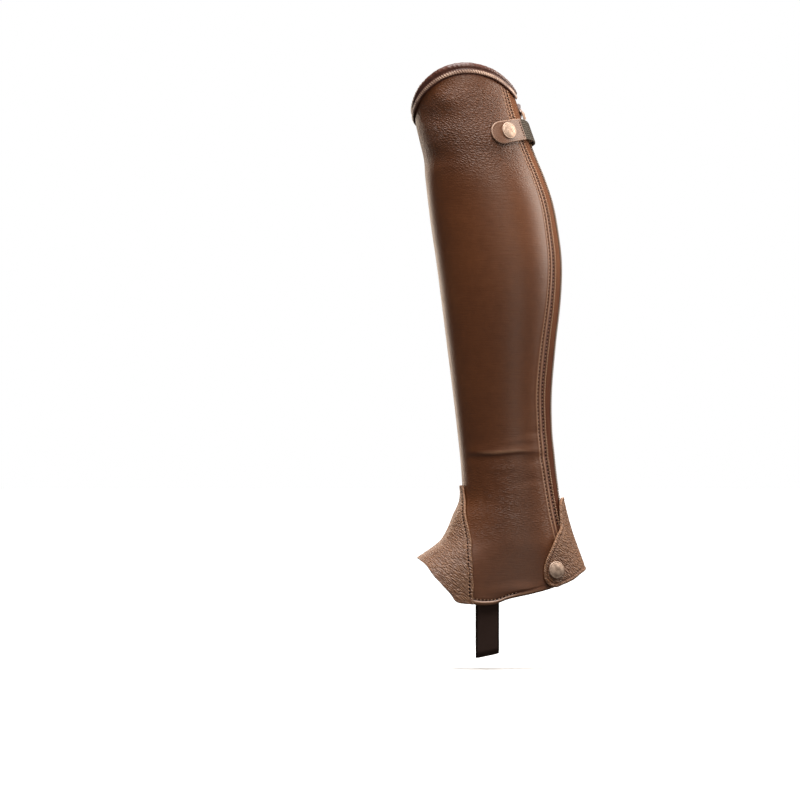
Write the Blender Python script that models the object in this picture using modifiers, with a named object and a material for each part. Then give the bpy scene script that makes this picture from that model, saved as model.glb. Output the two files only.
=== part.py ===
"""Left half chap in its worn pose: a hollow leather gaiter with a stretch band and zip at the back,
a rolled arched top edge, an instep gusset, a heel tab, a top strap and a stirrup strap.

The leg's surface is one function of an angle and a height, and every panel is a grid mapped on it.
Angle 0 is the outer side (-Y), 90 the back (+X), -90 the shin (-X) and 180 the inner side (+Y).
Sizes are in millimetres and angles in degrees until they reach a mesh.
"""

import math

import bmesh
import bpy
from mathutils import Matrix, Vector

COLLECTION = "half_chap"
MM = 0.001

# Walls and seams
PANEL_WALL = 2.0
BAND_WALL = 1.6
TAPE_WALL = 1.2
GUSSET_WALL = 1.8
HEEL_TAB_WALL = 2.6
TOP_TAB_WALL = 2.4
ELASTIC_WALL = 1.8
SEAM_GAP = 0.3
LAYER_GAP = 0.45
BAND_RECESS = 0.5
TAPE_RECESS = 0.6

# Meshes: degrees to a column of the long pieces, columns and rows of the others, the length and
# angle over which a direction is measured, the distance within which points merge, and the angle
# past which an edge is sharp
COLUMN_STEP = 10.0
BAND_COLUMNS = 3
GUSSET_GRID = (16, 14)
HEEL_TAB_GRID = (16, 9)
TOP_TAB_GRID = (11, 5)
TOP_STRAP_GRID = (12, 3)
STIRRUP_ROWS = 2
STEP = 0.5
MERGE = 0.01
SHARP = 40.0

SHIN = -90.0

# Rows of the long panels, from the hem up: how many lie in each zone, closer together at the folds
ROW_ZONES = (
    # rows, height of the zone's top, or None for the top edge
    (12, -196.0),
    (9, -168.0),
    (10, 62.0),
    (5, 98.0),
    (4, None),
)
PANEL_ROWS = sum(rows for rows, _ in ROW_ZONES)

# The leg, top to bottom: height, x of the front, x of the back, half the width, and how much
# wider the back half is than the front half
LEG = (
    # height, front, back, width, egg
    (167.2, -77.0, 5.5, 48.0, 0.03),
    (139.0, -75.4, 14.3, 49.0, 0.03),
    (110.9, -72.4, 22.2, 50.0, 0.04),
    (84.5, -66.2, 31.7, 51.0, 0.06),
    (63.4, -64.0, 40.4, 52.0, 0.07),
    (42.2, -61.6, 47.5, 52.6, 0.08),
    (21.1, -59.0, 51.8, 53.0, 0.08),
    (-10.6, -54.3, 55.6, 53.0, 0.08),
    (-42.2, -50.2, 54.8, 51.5, 0.08),
    (-84.5, -44.9, 50.2, 47.5, 0.07),
    (-126.7, -39.6, 46.8, 42.5, 0.05),
    (-158.4, -35.9, 47.1, 39.5, 0.03),
    (-179.5, -33.6, 49.1, 38.5, 0.02),
    (-200.6, -31.9, 51.4, 38.0, 0.0),
    (-220.0, -31.7, 54.2, 38.0, -0.01),
    (-234.1, -37.4, 57.4, 38.4, -0.02),
    (-248.2, -43.4, 61.4, 39.0, -0.03),
    (-258.7, -50.6, 65.0, 39.6, -0.04),
    (-272.8, -70.4, 70.2, 40.6, -0.05),
    (-290.4, -99.0, 76.4, 41.6, -0.06),
    (-313.3, -134.0, 80.0, 42.6, -0.06),
)

# Soft folds of the leather: height at the shin, rise towards the back for each degree, angle of the
# middle, how far it reaches each way, how broad it is and how far it stands out
FOLDS = (
    # height, rise, middle, reach, breadth, out
    (-176.0, 0.035, -20.0, 62.0, 3.2, 0.9),
    (-183.0, 0.03, -28.0, 70.0, 3.4, -1.2),
    (-190.0, 0.05, 40.0, 40.0, 5.0, -0.6),
    (76.0, 0.10, -62.0, 46.0, 7.0, -0.9),
    (92.0, 0.08, -50.0, 60.0, 9.0, 0.8),
    (-180.0, 0.03, 205.0, 60.0, 3.4, -1.1),
    (-172.0, 0.03, 200.0, 60.0, 4.0, 0.7),
    (74.0, 0.06, 235.0, 40.0, 8.0, -0.7),
)

# Height of the main panel's top edge by the angle from its peak
TOP_PEAK = 9.0
TOP_EDGE = (
    # angle, height
    (0.0, 160.6),
    (30.0, 156.0),
    (60.0, 142.8),
    (90.0, 125.2),
    (120.0, 114.4),
    (150.0, 110.2),
    (180.0, 109.4),
)

# Height of the lower edge by side angle, which runs from -90 at the shin to 90 at the back on both
# sides. Forward of the hem the panel is cut away in a V, which the instep gusset covers.
HEM = (
    # side angle, height
    (-90.0, -219.5),
    (-80.0, -223.5),
    (-57.0, -240.5),
    (-37.0, -261.0),
    (-24.0, -275.0),
    (-6.0, -305.0),
    (2.0, -311.3),
    (12.0, -311.5),
    (18.0, -307.0),
    (30.0, -302.4),
    (44.0, -296.8),
    (66.0, -286.0),
    (90.0, -280.4),
)

# Angle of the main panel's stitched rear edge by height
REAR_EDGE = (
    # height, angle
    (167.2, 58.6),
    (127.0, 60.0),
    (75.0, 63.4),
    (48.0, 60.8),
    (20.0, 58.6),
    (-18.0, 61.6),
    (-81.0, 60.4),
    (-121.0, 57.4),
    (-159.0, 59.2),
    (-190.0, 59.6),
    (-220.0, 64.0),
    (-315.0, 64.0),
)
ZIP_ANGLE = 88.5
ZIP_HALF_ANGLE = 6.0
ZIP_BEAD = 1.5
BINDING_STOP = 9.0

# The gusset's edge from its squared top corner down the side: height and side angle, and the
# height of its lower edge by side angle
GUSSET_EDGE = (
    # height, side angle
    (-207.0, -72.0),
    (-219.0, -65.5),
    (-240.7, -45.5),
    (-260.9, -29.4),
    (-274.6, -17.0),
    (-292.0, -6.0),
    (-309.0, 1.1),
    (-313.0, 3.0),
)
GUSSET_OUT = 0.8
GUSSET_HEM = (
    # side angle, height
    (-90.0, -272.4),
    (-70.0, -274.0),
    (-49.0, -279.2),
    (-27.0, -291.4),
    (-13.0, -302.6),
    (-6.5, -309.6),
    (3.0, -311.8),
)

# The heel tab by angle, from its rounded end on the outer side to its seam on the inner side
HEEL_TAB = (
    # angle, upper edge, lower edge
    (34.6, -280.0, -282.5),
    (35.6, -273.5, -289.2),
    (38.0, -267.8, -293.5),
    (41.0, -262.5, -295.8),
    (44.5, -257.5, -296.4),
    (49.7, -251.5, -294.2),
    (59.0, -243.7, -290.4),
    (64.0, -233.2, -288.0),
    (68.5, -224.4, -286.0),
    (75.0, -219.6, -284.4),
    (90.0, -218.2, -282.0),
    (104.0, -222.0, -284.5),
    (118.0, -232.0, -289.0),
)
HEEL_TAB_OUT = 1.7
HEEL_TAB_SPREAD = 0.35
HEEL_TAB_LANDING = (98.0, 112.0)

# The top strap by angle: its middle line and its half width
TOP_STRAP = (
    # angle, middle, half width
    (18.0, 100.2, 9.8),
    (38.0, 103.0, 9.6),
    (60.0, 104.8, 9.2),
    (75.0, 103.8, 8.9),
    (90.0, 101.4, 8.8),
    (110.0, 98.6, 8.8),
    (128.0, 97.2, 8.8),
)
TOP_TAB_START = 18.6
TOP_TAB_END = 61.0
TOP_TAB_OUT = 2.2
TOP_STRAP_OUT = 3.0
TOP_STRAP_END = 126.0
TOP_STRAP_LANDING = (98.0, 112.0)

# Press studs: places on the leg, and sizes
TOP_SNAP = (37.5, 103.2)
HEEL_SNAP = (43.6, -281.4)
CAP_PROFILE = (
    # radius, height
    (0.0, 2.5),
    (3.4, 2.3),
    (5.6, 1.7),
    (6.9, 1.0),
    (7.5, 0.4),
    (7.2, 0.0),
    (0.0, 0.0),
)
STUD_RADIUS = 4.4
SNAP_SIDES = 24

# Rolled binding: its section, as distance out from the panel's outer face and height from the
# panel's top edge, once round from the foot of its outer leg
BINDING_LEG = 6.2
BINDING_SECTION = (
    # out, height
    (0.5, -BINDING_LEG),
    (1.9, -BINDING_LEG),
    (2.4, -4.3),
    (2.0, -2.3),
    (1.5, -1.6),
    (2.6, -0.4),
    (2.9, 1.0),
    (2.0, 2.8),
    (0.0, 3.7),
    (-2.2, 3.6),
    (-4.0, 2.4),
    (-4.5, 0.6),
    (-3.9, -1.4),
    (-3.7, -BINDING_LEG),
    (-2.5, -BINDING_LEG),
    (-2.5, 0.5),
    (0.5, 0.5),
)

# Stirrup strap
STIRRUP_WIDTH = 20.4
STIRRUP_FRONT = -19.6
STIRRUP_WALL = 2.0
STIRRUP_TOP = -301.0
STIRRUP_FOOT = -357.0
STIRRUP_FOOT_Y = 33.6
STIRRUP_BEND = 7.0
STIRRUP_TILT = 12.0

# Zip slider and pull
SLIDER_HEIGHT = 117.0
SLIDER_SIZE = (2.4, 8.0, 10.0)
PULL_SIZE = (1.3, 6.5, 18.0)

MATERIALS = {
    # name: colour, roughness, metallic
    "leather": ((0.105, 0.047, 0.026), 0.46, 0.0),
    "grained_leather": ((0.125, 0.058, 0.034), 0.52, 0.0),
    "binding_leather": ((0.085, 0.036, 0.022), 0.42, 0.0),
    "stretch": ((0.150, 0.045, 0.022), 0.80, 0.0),
    "zip_tape": ((0.060, 0.026, 0.016), 0.85, 0.0),
    "elastic": ((0.012, 0.011, 0.011), 0.80, 0.0),
    "antique_brass": ((0.420, 0.260, 0.170), 0.36, 0.9),
}


def smooth_value(table, place, column):
    """Read a column of a table on a smooth curve through its rows, which are in order of column 0."""
    rows = table if table[0][0] < table[-1][0] else table[::-1]
    place = min(max(place, rows[0][0]), rows[-1][0])
    index = 0
    while index < len(rows) - 2 and place > rows[index + 1][0]:
        index += 1

    def slope(at):
        low = max(at - 1, 0)
        high = min(at + 1, len(rows) - 1)
        return (rows[high][column] - rows[low][column]) / (rows[high][0] - rows[low][0])

    start, end = rows[index], rows[index + 1]
    span = end[0] - start[0]
    t = (place - start[0]) / span
    return (
        (2 * t ** 3 - 3 * t ** 2 + 1) * start[column]
        + (t ** 3 - 2 * t ** 2 + t) * span * slope(index)
        + (3 * t ** 2 - 2 * t ** 3) * end[column]
        + (t ** 3 - t ** 2) * span * slope(index + 1)
    )


def mix(start, end, share):
    return start + (end - start) * share


def side_angle(angle):
    """The angle's place between the shin (-90) and the back (90), alike on both sides."""
    return math.degrees(math.asin(math.sin(math.radians(angle))))


def turn_between(angle, middle):
    """How far an angle lies from another, in degrees, the short way round."""
    return abs((angle - middle + 180) % 360 - 180)


def bare_leg(angle, height):
    """A point of the main panel's outer face, without its folds."""
    front, back, width, egg = (smooth_value(LEG, height, column) for column in (1, 2, 3, 4))
    across = math.sin(math.radians(angle))
    x = (front + back) / 2 + (back - front) / 2 * across
    y = -width * math.cos(math.radians(angle)) * (1 + egg * across)
    return Vector((x, y, height))


def fold_out(angle, height):
    """How far the folds move the leather out at a place."""
    out = 0.0
    for fold_height, rise, middle, reach, breadth, depth in FOLDS:
        away = turn_between(angle, middle)
        if away < reach:
            line = fold_height + rise * (side_angle(angle) - SHIN)
            fade = math.cos(math.radians(90 * away / reach)) ** 2
            out += depth * fade * math.exp(-((height - line) / breadth) ** 2)
    return out


def leg_normal(angle, height):
    along = bare_leg(angle + STEP, height) - bare_leg(angle - STEP, height)
    up = bare_leg(angle, height + STEP) - bare_leg(angle, height - STEP)
    return along.cross(up).normalized()


def leg_point(angle, height, out=0.0):
    """A point of the leg's surface, moved out along its normal."""
    return bare_leg(angle, height) + leg_normal(angle, height) * (out + fold_out(angle, height))


def top_height(angle):
    return smooth_value(TOP_EDGE, turn_between(angle, TOP_PEAK), 1)


def hem_height(angle):
    return smooth_value(HEM, side_angle(angle), 1)


def gap_angle(angle, height, distance):
    """The angle that a distance along the surface spans at a place."""
    reach = (bare_leg(angle + STEP, height) - bare_leg(angle - STEP, height)).length
    return distance * 2 * STEP / reach


def column_count(start, end):
    return round(abs(end - start) / COLUMN_STEP)


def add_material(name):
    colour, roughness, metallic = MATERIALS[name]
    material = bpy.data.materials.new(name)
    material.use_nodes = True
    shader = material.node_tree.nodes["Principled BSDF"]
    shader.inputs["Base Color"].default_value = (*colour, 1.0)
    shader.inputs["Roughness"].default_value = roughness
    shader.inputs["Metallic"].default_value = metallic


def add_object(name, bm, material):
    """Make a finished bmesh an object of the half chap."""
    mesh = bpy.data.meshes.new(name)
    bm.to_mesh(mesh)
    bm.free()
    mesh.materials.append(bpy.data.materials[material])
    made = bpy.data.objects.new(name, mesh)
    bpy.data.collections[COLLECTION].objects.link(made)
    return made


def place_all(bm, place):
    """Move each vertex, whose x and y are its shares s and t, to its place, and close the poles."""
    for vert in bm.verts:
        vert.co = place(vert) * MM
    bmesh.ops.remove_doubles(bm, verts=bm.verts, dist=MERGE * MM)


def add_wall(name, columns, rows, place, material):
    """A wall whose outer face is place(s, t, 0) and whose inner face is place(s, t, 1)."""
    bm = bmesh.new()
    bmesh.ops.create_grid(bm, x_segments=columns, y_segments=rows, size=0.5)
    bmesh.ops.translate(bm, vec=(0.5, 0.5, 0.0), verts=bm.verts)
    made = bmesh.ops.extrude_face_region(bm, geom=bm.faces[:], use_keep_orig=True)
    inner = [item for item in made["geom"] if isinstance(item, bmesh.types.BMVert)]
    bmesh.ops.translate(bm, vec=(0.0, 0.0, -1.0), verts=inner)
    bmesh.ops.recalc_face_normals(bm, faces=bm.faces)
    place_all(bm, lambda vert: place(vert.co.x, vert.co.y, -vert.co.z))
    bmesh.ops.triangulate(bm, faces=bm.faces, quad_method="SHORT_EDGE")
    wall = add_object(name, bm, material)
    wall.data.shade_smooth()
    wall.data.set_sharp_from_angle(angle=math.radians(SHARP))


def row_height(angle, share):
    """The height of a row of the long panels, from the hem (0) to the top edge (1)."""
    row = share * PANEL_ROWS
    low = hem_height(angle)
    for rows, top in ROW_ZONES:
        high = top_height(angle) if top is None else top
        if row <= rows:
            return mix(low, high, row / rows)
        row -= rows
        low = high
    return low


def rear_edge_place(share):
    """The angle and height of a row at the main panel's rear edge."""
    angle = REAR_EDGE[0][1]
    for _ in range(4):
        height = row_height(angle, share)
        angle = smooth_value(REAR_EDGE, height, 1)
    return angle, height


def add_long_piece(name, columns, edges, out, wall, material):
    """A piece from hem to top edge, with half a seam's gap left at both of its edges."""

    def place(s, t, depth):
        start, end = edges(t)
        height = row_height(mix(start, end, s), t)
        start += gap_angle(start, height, SEAM_GAP / 2)
        end -= gap_angle(end, height, SEAM_GAP / 2)
        return leg_point(mix(start, end, s), height, mix(out(s), -wall, depth))

    add_wall(name, columns, PANEL_ROWS, place, material)


def add_main_panel():
    """The leather from the stitched rear edge, round the shin, to the zip on the inner side."""
    start = ZIP_ANGLE + ZIP_HALF_ANGLE - 360

    def edges(t):
        return start, rear_edge_place(t)[0]

    columns = column_count(start, REAR_EDGE[0][1])
    add_long_piece("main_panel", columns, edges, lambda s: 0.0, PANEL_WALL, "leather")


def add_stretch_band():
    """The stretch band from the main panel's rear edge to the zip."""

    def edges(t):
        return rear_edge_place(t)[0], ZIP_ANGLE - ZIP_HALF_ANGLE

    wall = BAND_RECESS + BAND_WALL
    add_long_piece("stretch_band", BAND_COLUMNS, edges, lambda s: -BAND_RECESS, wall, "stretch")


def add_zip_tape(name, start, end):
    """One of the zip's two tapes, with the bead of its teeth along the zip's middle."""

    def out(s):
        from_middle = s if start == ZIP_ANGLE else 1 - s
        return -TAPE_RECESS + (ZIP_BEAD if from_middle < 0.5 else 0.0)

    wall = TAPE_RECESS + TAPE_WALL
    add_long_piece(name, BAND_COLUMNS, lambda t: (start, end), out, wall, "zip_tape")


def binding_point(angle, out, rise):
    """A point of the binding's section, square to the top edge and on the leg's surface."""
    height = top_height(angle)
    ahead = bare_leg(angle + STEP, top_height(angle + STEP))
    behind = bare_leg(angle - STEP, top_height(angle - STEP))
    along = (ahead - behind).normalized()
    up = leg_normal(angle, height).cross(along)
    level = (bare_leg(angle + STEP, height) - bare_leg(angle - STEP, height)).normalized()
    turn = gap_angle(angle, height, 1.0) * up.dot(level) * rise
    return leg_point(angle + turn, height + up.z * rise, out)


def add_top_binding():
    """The rolled binding over the top edge, from one side of the zip round the shin to the other."""
    start = ZIP_ANGLE + BINDING_STOP - 360
    end = ZIP_ANGLE - BINDING_STOP
    corners = len(BINDING_SECTION)

    def place(vert):
        out, rise = BINDING_SECTION[round(vert.co.y * corners) % corners]
        return binding_point(mix(start, end, vert.co.x), out, rise)

    bm = bmesh.new()
    bmesh.ops.create_grid(bm, x_segments=column_count(start, end), y_segments=corners, size=0.5)
    bmesh.ops.translate(bm, vec=(0.5, 0.5, 0.0), verts=bm.verts)
    place_all(bm, place)
    bmesh.ops.holes_fill(bm, edges=[edge for edge in bm.edges if edge.is_boundary], sides=corners)
    bmesh.ops.recalc_face_normals(bm, faces=bm.faces)
    add_object("top_binding", bm, "binding_leather").data.shade_smooth()


def add_instep_gusset():
    """The grained shield over the front of the ankle, the same on both sides of the shin."""
    top = GUSSET_EDGE[0][0]

    def place(s, t, depth):
        across = 2 * s - 1
        height = top
        for _ in range(6):
            side = mix(SHIN, smooth_value(GUSSET_EDGE, height, 1), abs(across))
            height = mix(smooth_value(GUSSET_HEM, side, 1), top, t)
        angle = side if across > 0 else -180 - side
        return leg_point(angle, height, GUSSET_OUT + GUSSET_WALL * (1 - depth))

    add_wall("instep_gusset", *GUSSET_GRID, place, "grained_leather")


def landing_out(angle, landing, out):
    """How far out a strap or tab lies as it comes down to the leather on the inner side."""
    share = min(max((angle - landing[0]) / (landing[1] - landing[0]), 0.0), 1.0)
    return mix(out, LAYER_GAP, share * share * (3 - 2 * share))


def add_heel_tab():
    """The flap from the inner side round the heel, with a rounded end on the outer side."""
    start, end = HEEL_TAB[0][0], HEEL_TAB[-1][0]

    def place(s, t, depth):
        angle = mix(start, end, s * mix(HEEL_TAB_SPREAD, 1.0, s))
        height = mix(smooth_value(HEEL_TAB, angle, 2), smooth_value(HEEL_TAB, angle, 1), t)
        inside = landing_out(angle, HEEL_TAB_LANDING, HEEL_TAB_OUT)
        return leg_point(angle, height, inside + HEEL_TAB_WALL * (1 - depth))

    add_wall("heel_tab", *HEEL_TAB_GRID, place, "grained_leather")


def strap_place(angle, across, out):
    """A point of the top strap, from its lower edge (0) to its upper edge (1)."""
    middle = smooth_value(TOP_STRAP, angle, 1)
    half = smooth_value(TOP_STRAP, angle, 2)
    return leg_point(angle, middle + half * (2 * across - 1), out)


def add_top_tab():
    """The leather end of the top strap, round at its tip."""
    tip = 11.0
    round_share = 0.45

    def place(s, t, depth):
        turned = math.radians(90 * min(s / round_share, 1.0))
        straight = max((s - round_share) / (1 - round_share), 0.0)
        angle = TOP_TAB_START + tip * (1 - math.cos(turned))
        angle = mix(angle, TOP_TAB_END, straight)
        across = 0.5 + (t - 0.5) * math.sin(turned)
        return strap_place(angle, across, TOP_TAB_OUT + TOP_TAB_WALL * (1 - depth))

    add_wall("top_tab", *TOP_TAB_GRID, place, "leather")


def add_top_strap():
    """The elastic from the top tab round the back, which comes down to the leather on the inner side."""
    height = smooth_value(TOP_STRAP, TOP_TAB_END, 1)
    start = TOP_TAB_END + gap_angle(TOP_TAB_END, height, SEAM_GAP)

    def place(s, t, depth):
        angle = mix(start, TOP_STRAP_END, s)
        inside = landing_out(angle, TOP_STRAP_LANDING, TOP_STRAP_OUT)
        return strap_place(angle, t, inside + ELASTIC_WALL * (1 - depth))

    add_wall("top_strap", *TOP_STRAP_GRID, place, "elastic")


def panel_inside(x, height):
    """The y of the main panel's inner face on the outer side, at an x and a height."""
    front, back = (smooth_value(LEG, height, column) for column in (1, 2))
    angle = math.degrees(math.asin((2 * x - front - back) / (back - front)))
    return leg_point(angle, height, -PANEL_WALL - LAYER_GAP).y


def add_stirrup_strap():
    """The elastic from hem to hem under the sole, its foot tilted with the waist of the sole."""
    bend_start = STIRRUP_FOOT + STIRRUP_BEND
    drops = (0.0, 0.12, 0.24, 0.5, 0.75, 1.0)
    bends = (22.5, 45.0, 67.5, 90.0)
    slope = math.tan(math.radians(STIRRUP_TILT))
    stations = len(drops) + len(bends)

    def place(s, t, depth):
        station = round(s * (2 * stations - 1))
        side = 1 if station < stations else -1
        station = min(station, 2 * stations - 1 - station)
        x = STIRRUP_FRONT + STIRRUP_WIDTH * t
        inward = STIRRUP_WALL * depth
        if station < len(drops):
            drop = drops[station]
            z = mix(STIRRUP_TOP, bend_start, drop)
            y = mix(panel_inside(x, z), -STIRRUP_FOOT_Y, drop) + inward
        else:
            turned = math.radians(bends[station - len(drops)])
            radius = STIRRUP_BEND - inward
            y = -STIRRUP_FOOT_Y + STIRRUP_BEND - radius * math.cos(turned)
            z = bend_start - radius * math.sin(turned)
        low = min((STIRRUP_TOP - z) / (STIRRUP_TOP - bend_start), 1.0)
        lift = (x - STIRRUP_FRONT - STIRRUP_WIDTH / 2) * slope * low ** 3
        return Vector((x, y * side, z + lift))

    add_wall("stirrup_strap", 2 * stations - 1, STIRRUP_ROWS, place, "elastic")


def surface_frame(angle, height, out):
    """A placing with its Z out of the leg's surface and its X level."""
    normal = leg_normal(angle, height)
    level = Vector((0, 0, 1)).cross(normal).normalized()
    turn = Matrix((level, normal.cross(level), normal)).transposed().to_4x4()
    return Matrix.Translation(leg_point(angle, height, out) * MM) @ turn


def add_turned(name, profile, placing, material):
    """A turned piece from a profile that runs down its outer side."""
    bm = bmesh.new()
    verts = [bm.verts.new((radius * MM, 0, height * MM)) for radius, height in profile]
    for upper, lower in zip(verts, verts[1:]):
        bm.edges.new((upper, lower))
    made = add_object(name, bm, material)
    made.matrix_world = placing
    screw = made.modifiers.new("turn", "SCREW")
    screw.steps = SNAP_SIDES
    screw.render_steps = SNAP_SIDES
    screw.use_merge_vertices = True
    screw.merge_threshold = MERGE * MM
    screw.use_smooth_shade = True


def add_snap(name, place, inside, wall):
    """A press stud through a tab: the stud that carries it and its domed cap."""
    angle, height = place
    stud_height = inside - 3 * SEAM_GAP
    stud = ((0, stud_height), (STUD_RADIUS, stud_height), (STUD_RADIUS, 0), (0, 0))
    add_turned(f"{name}_stud", stud, surface_frame(angle, height, SEAM_GAP), "antique_brass")
    cap_out = inside + wall + SEAM_GAP
    add_turned(f"{name}_cap", CAP_PROFILE, surface_frame(angle, height, cap_out), "antique_brass")


def add_rounded_block(name, size, height, inside, bevel, material):
    """A block on the zip with its first size out from the surface, its edges rounded."""
    depth, width, length = size
    bm = bmesh.new()
    bmesh.ops.create_cube(bm, size=1.0)
    bmesh.ops.scale(bm, vec=Vector((width, length, depth)) * MM, verts=bm.verts)
    made = add_object(name, bm, material)
    made.matrix_world = surface_frame(ZIP_ANGLE, height, inside + depth / 2)
    rounding = made.modifiers.new("rounding", "BEVEL")
    rounding.width = bevel * MM
    rounding.segments = 2


def add_zip_slider():
    """The slider at the top of the zip and the pull that hangs from it, under the top strap."""
    inside = ZIP_BEAD - TAPE_RECESS + LAYER_GAP
    pull_height = SLIDER_HEIGHT - (SLIDER_SIZE[2] + PULL_SIZE[2]) / 2
    add_rounded_block("zip_slider", SLIDER_SIZE, SLIDER_HEIGHT, inside, 1.0, "antique_brass")
    add_rounded_block("zip_pull", PULL_SIZE, pull_height, inside, 0.4, "antique_brass")


def main():
    for old in list(bpy.data.objects):
        bpy.data.objects.remove(old, do_unlink=True)
    collection = bpy.data.collections.new(COLLECTION)
    bpy.context.scene.collection.children.link(collection)
    for name in MATERIALS:
        add_material(name)

    add_main_panel()
    add_stretch_band()
    add_zip_tape("zip_tape_outer", ZIP_ANGLE - ZIP_HALF_ANGLE, ZIP_ANGLE)
    add_zip_tape("zip_tape_inner", ZIP_ANGLE, ZIP_ANGLE + ZIP_HALF_ANGLE)
    add_top_binding()
    add_instep_gusset()
    add_heel_tab()
    add_top_tab()
    add_top_strap()
    add_stirrup_strap()
    add_snap("top_snap", TOP_SNAP, TOP_TAB_OUT, TOP_TAB_WALL)
    add_snap("heel_snap", HEEL_SNAP, HEEL_TAB_OUT, HEEL_TAB_WALL)
    add_zip_slider()


main()
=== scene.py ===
"""The looks of the left half chap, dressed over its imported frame.

Every panel is a thin shell on the leg's surface, which is one function of an angle and a height.
Angle 0 is the outer side (-Y), 90 the back (+X), -90 the shin (-X) and 180 the inner side (+Y).
Sizes are in millimetres and angles in degrees until they reach a mesh.
"""

from types import SimpleNamespace

import bmesh
import bpy
import numpy as np
from mathutils import Matrix, Vector
from mathutils.kdtree import KDTree


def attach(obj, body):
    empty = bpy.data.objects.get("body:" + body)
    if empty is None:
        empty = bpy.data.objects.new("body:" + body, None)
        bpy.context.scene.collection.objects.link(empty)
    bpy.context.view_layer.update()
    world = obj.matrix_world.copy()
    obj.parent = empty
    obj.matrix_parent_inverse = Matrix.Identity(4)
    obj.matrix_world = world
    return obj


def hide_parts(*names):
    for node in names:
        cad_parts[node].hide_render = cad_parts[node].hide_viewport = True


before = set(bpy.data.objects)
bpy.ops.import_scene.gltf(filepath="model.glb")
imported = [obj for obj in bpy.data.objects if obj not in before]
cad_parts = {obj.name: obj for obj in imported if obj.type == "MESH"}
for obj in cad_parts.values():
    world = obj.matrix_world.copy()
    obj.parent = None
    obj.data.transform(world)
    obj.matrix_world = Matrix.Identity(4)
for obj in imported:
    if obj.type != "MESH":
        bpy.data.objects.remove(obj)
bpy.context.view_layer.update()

MM = 0.001
BODY = "root"

# Walls and seams
PANEL_WALL = 2.0
BAND_WALL = 1.6
TAPE_WALL = 1.2
GUSSET_WALL = 1.8
HEEL_TAB_WALL = 2.6
TOP_TAB_WALL = 2.4
ELASTIC_WALL = 1.8
SEAM_GAP = 0.3
LAYER_GAP = 0.45
BAND_RECESS = 0.5
TAPE_RECESS = 0.6

# Meshes: the length and angle over which a direction is measured, that along a path, the distance
# within which points merge, the angle past which an edge is sharp, the distances from a rim at
# which rows lie, and how far in it is rounded
STEP = 0.5
PATH_STEP = 0.3
MERGE = 0.002
SHARP = 55.0
RIM_STEPS = (0.0, 0.1, 0.3, 0.6, 1.0)
RIM_ROUND = 0.7
ELASTIC_ROUND = 0.5
TAPE_ROUND = 0.4

# Where the columns and rows of the main panel and the gusset lie closer together, as distances from
# an edge, and the rough sizes of the pieces that they are shares of
PANEL_GIRTH = 335.0
PANEL_LENGTH = 460.0
BAND_WIDTH = 19.0
TAPE_WIDTH = 5.2
GUSSET_SIZE = (190.0, 90.0)
HEEL_TAB_SIZE = (100.0, 50.0)
TOP_TAB_SIZE = (40.0, 19.0)
TOP_STRAP_SIZE = (65.0, 17.6)
NEAR_ZIP = (0.0, 0.1, 0.3, 0.6, 1.0, 1.8, 2.6, 3.2, 3.8, 4.6, 6.0, 7.6)
NEAR_REAR = (*RIM_STEPS, *np.arange(1.5, 16.6, 0.5))
NEAR_HEM = (0.1, 0.3, 0.6, 1.0, 1.4, 1.9, 2.8, 3.3, 3.8, 4.3, 5.4, 6.0, 6.8)
NEAR_GUSSET = (*RIM_STEPS, *np.arange(1.4, 11.0, 0.45))

# In how many rounds an angle and a height that depend on each other settle
REAR_ROUNDS = 5
GUSSET_ROUNDS = 8

SHIN = -90.0

# Rows of the long panels, from the hem up: how many lie in each zone, closer together at the folds
ROW_ZONES = (
    # rows, height of the zone's top, or None for the top edge
    (48, -196.0),
    (28, -160.0),
    (66, 62.0),
    (22, 98.0),
    (36, None),
)
ROW_COUNT = sum(rows for rows, _ in ROW_ZONES)

# The leg, top to bottom: height, x of the front, x of the back, half the width, and how much
# wider the back half is than the front half
LEG = (
    # height, front, back, width, egg
    (167.2, -77.0, 5.5, 48.0, 0.03),
    (139.0, -75.4, 14.3, 49.0, 0.03),
    (110.9, -72.4, 22.2, 50.0, 0.04),
    (84.5, -66.2, 31.7, 51.0, 0.06),
    (63.4, -64.0, 40.4, 52.0, 0.07),
    (42.2, -61.6, 47.5, 52.6, 0.08),
    (21.1, -59.0, 51.8, 53.0, 0.08),
    (-10.6, -54.3, 55.6, 53.0, 0.08),
    (-42.2, -50.2, 54.8, 51.5, 0.08),
    (-84.5, -44.9, 50.2, 47.5, 0.07),
    (-126.7, -39.6, 46.8, 42.5, 0.05),
    (-158.4, -35.9, 47.1, 39.5, 0.03),
    (-179.5, -33.6, 49.1, 38.5, 0.02),
    (-200.6, -31.9, 51.4, 38.0, 0.0),
    (-220.0, -31.7, 54.2, 38.0, -0.01),
    (-234.1, -37.4, 57.4, 38.4, -0.02),
    (-248.2, -43.4, 61.4, 39.0, -0.03),
    (-258.7, -50.6, 65.0, 39.6, -0.04),
    (-272.8, -70.4, 70.2, 40.6, -0.05),
    (-290.4, -99.0, 76.4, 41.6, -0.06),
    (-313.3, -134.0, 80.0, 42.6, -0.06),
)

# Soft folds of the leather: height at the shin, rise towards the back for each degree, angle of the
# middle, how far it reaches each way, how broad it is and how far it stands out
FOLDS = (
    # height, rise, middle, reach, breadth, out
    (-176.0, 0.035, -20.0, 62.0, 3.2, 0.2),
    (-185.0, 0.03, -28.0, 70.0, 3.4, -0.35),
    (-190.0, 0.05, 40.0, 40.0, 5.0, -0.6),
    (76.0, 0.10, -62.0, 46.0, 7.0, -0.9),
    (92.0, 0.08, -50.0, 60.0, 9.0, 0.8),
    (-180.0, 0.03, 205.0, 60.0, 3.4, -1.1),
    (-172.0, 0.03, 200.0, 60.0, 4.0, 0.7),
    (74.0, 0.06, 235.0, 40.0, 8.0, -0.7),
)

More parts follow.
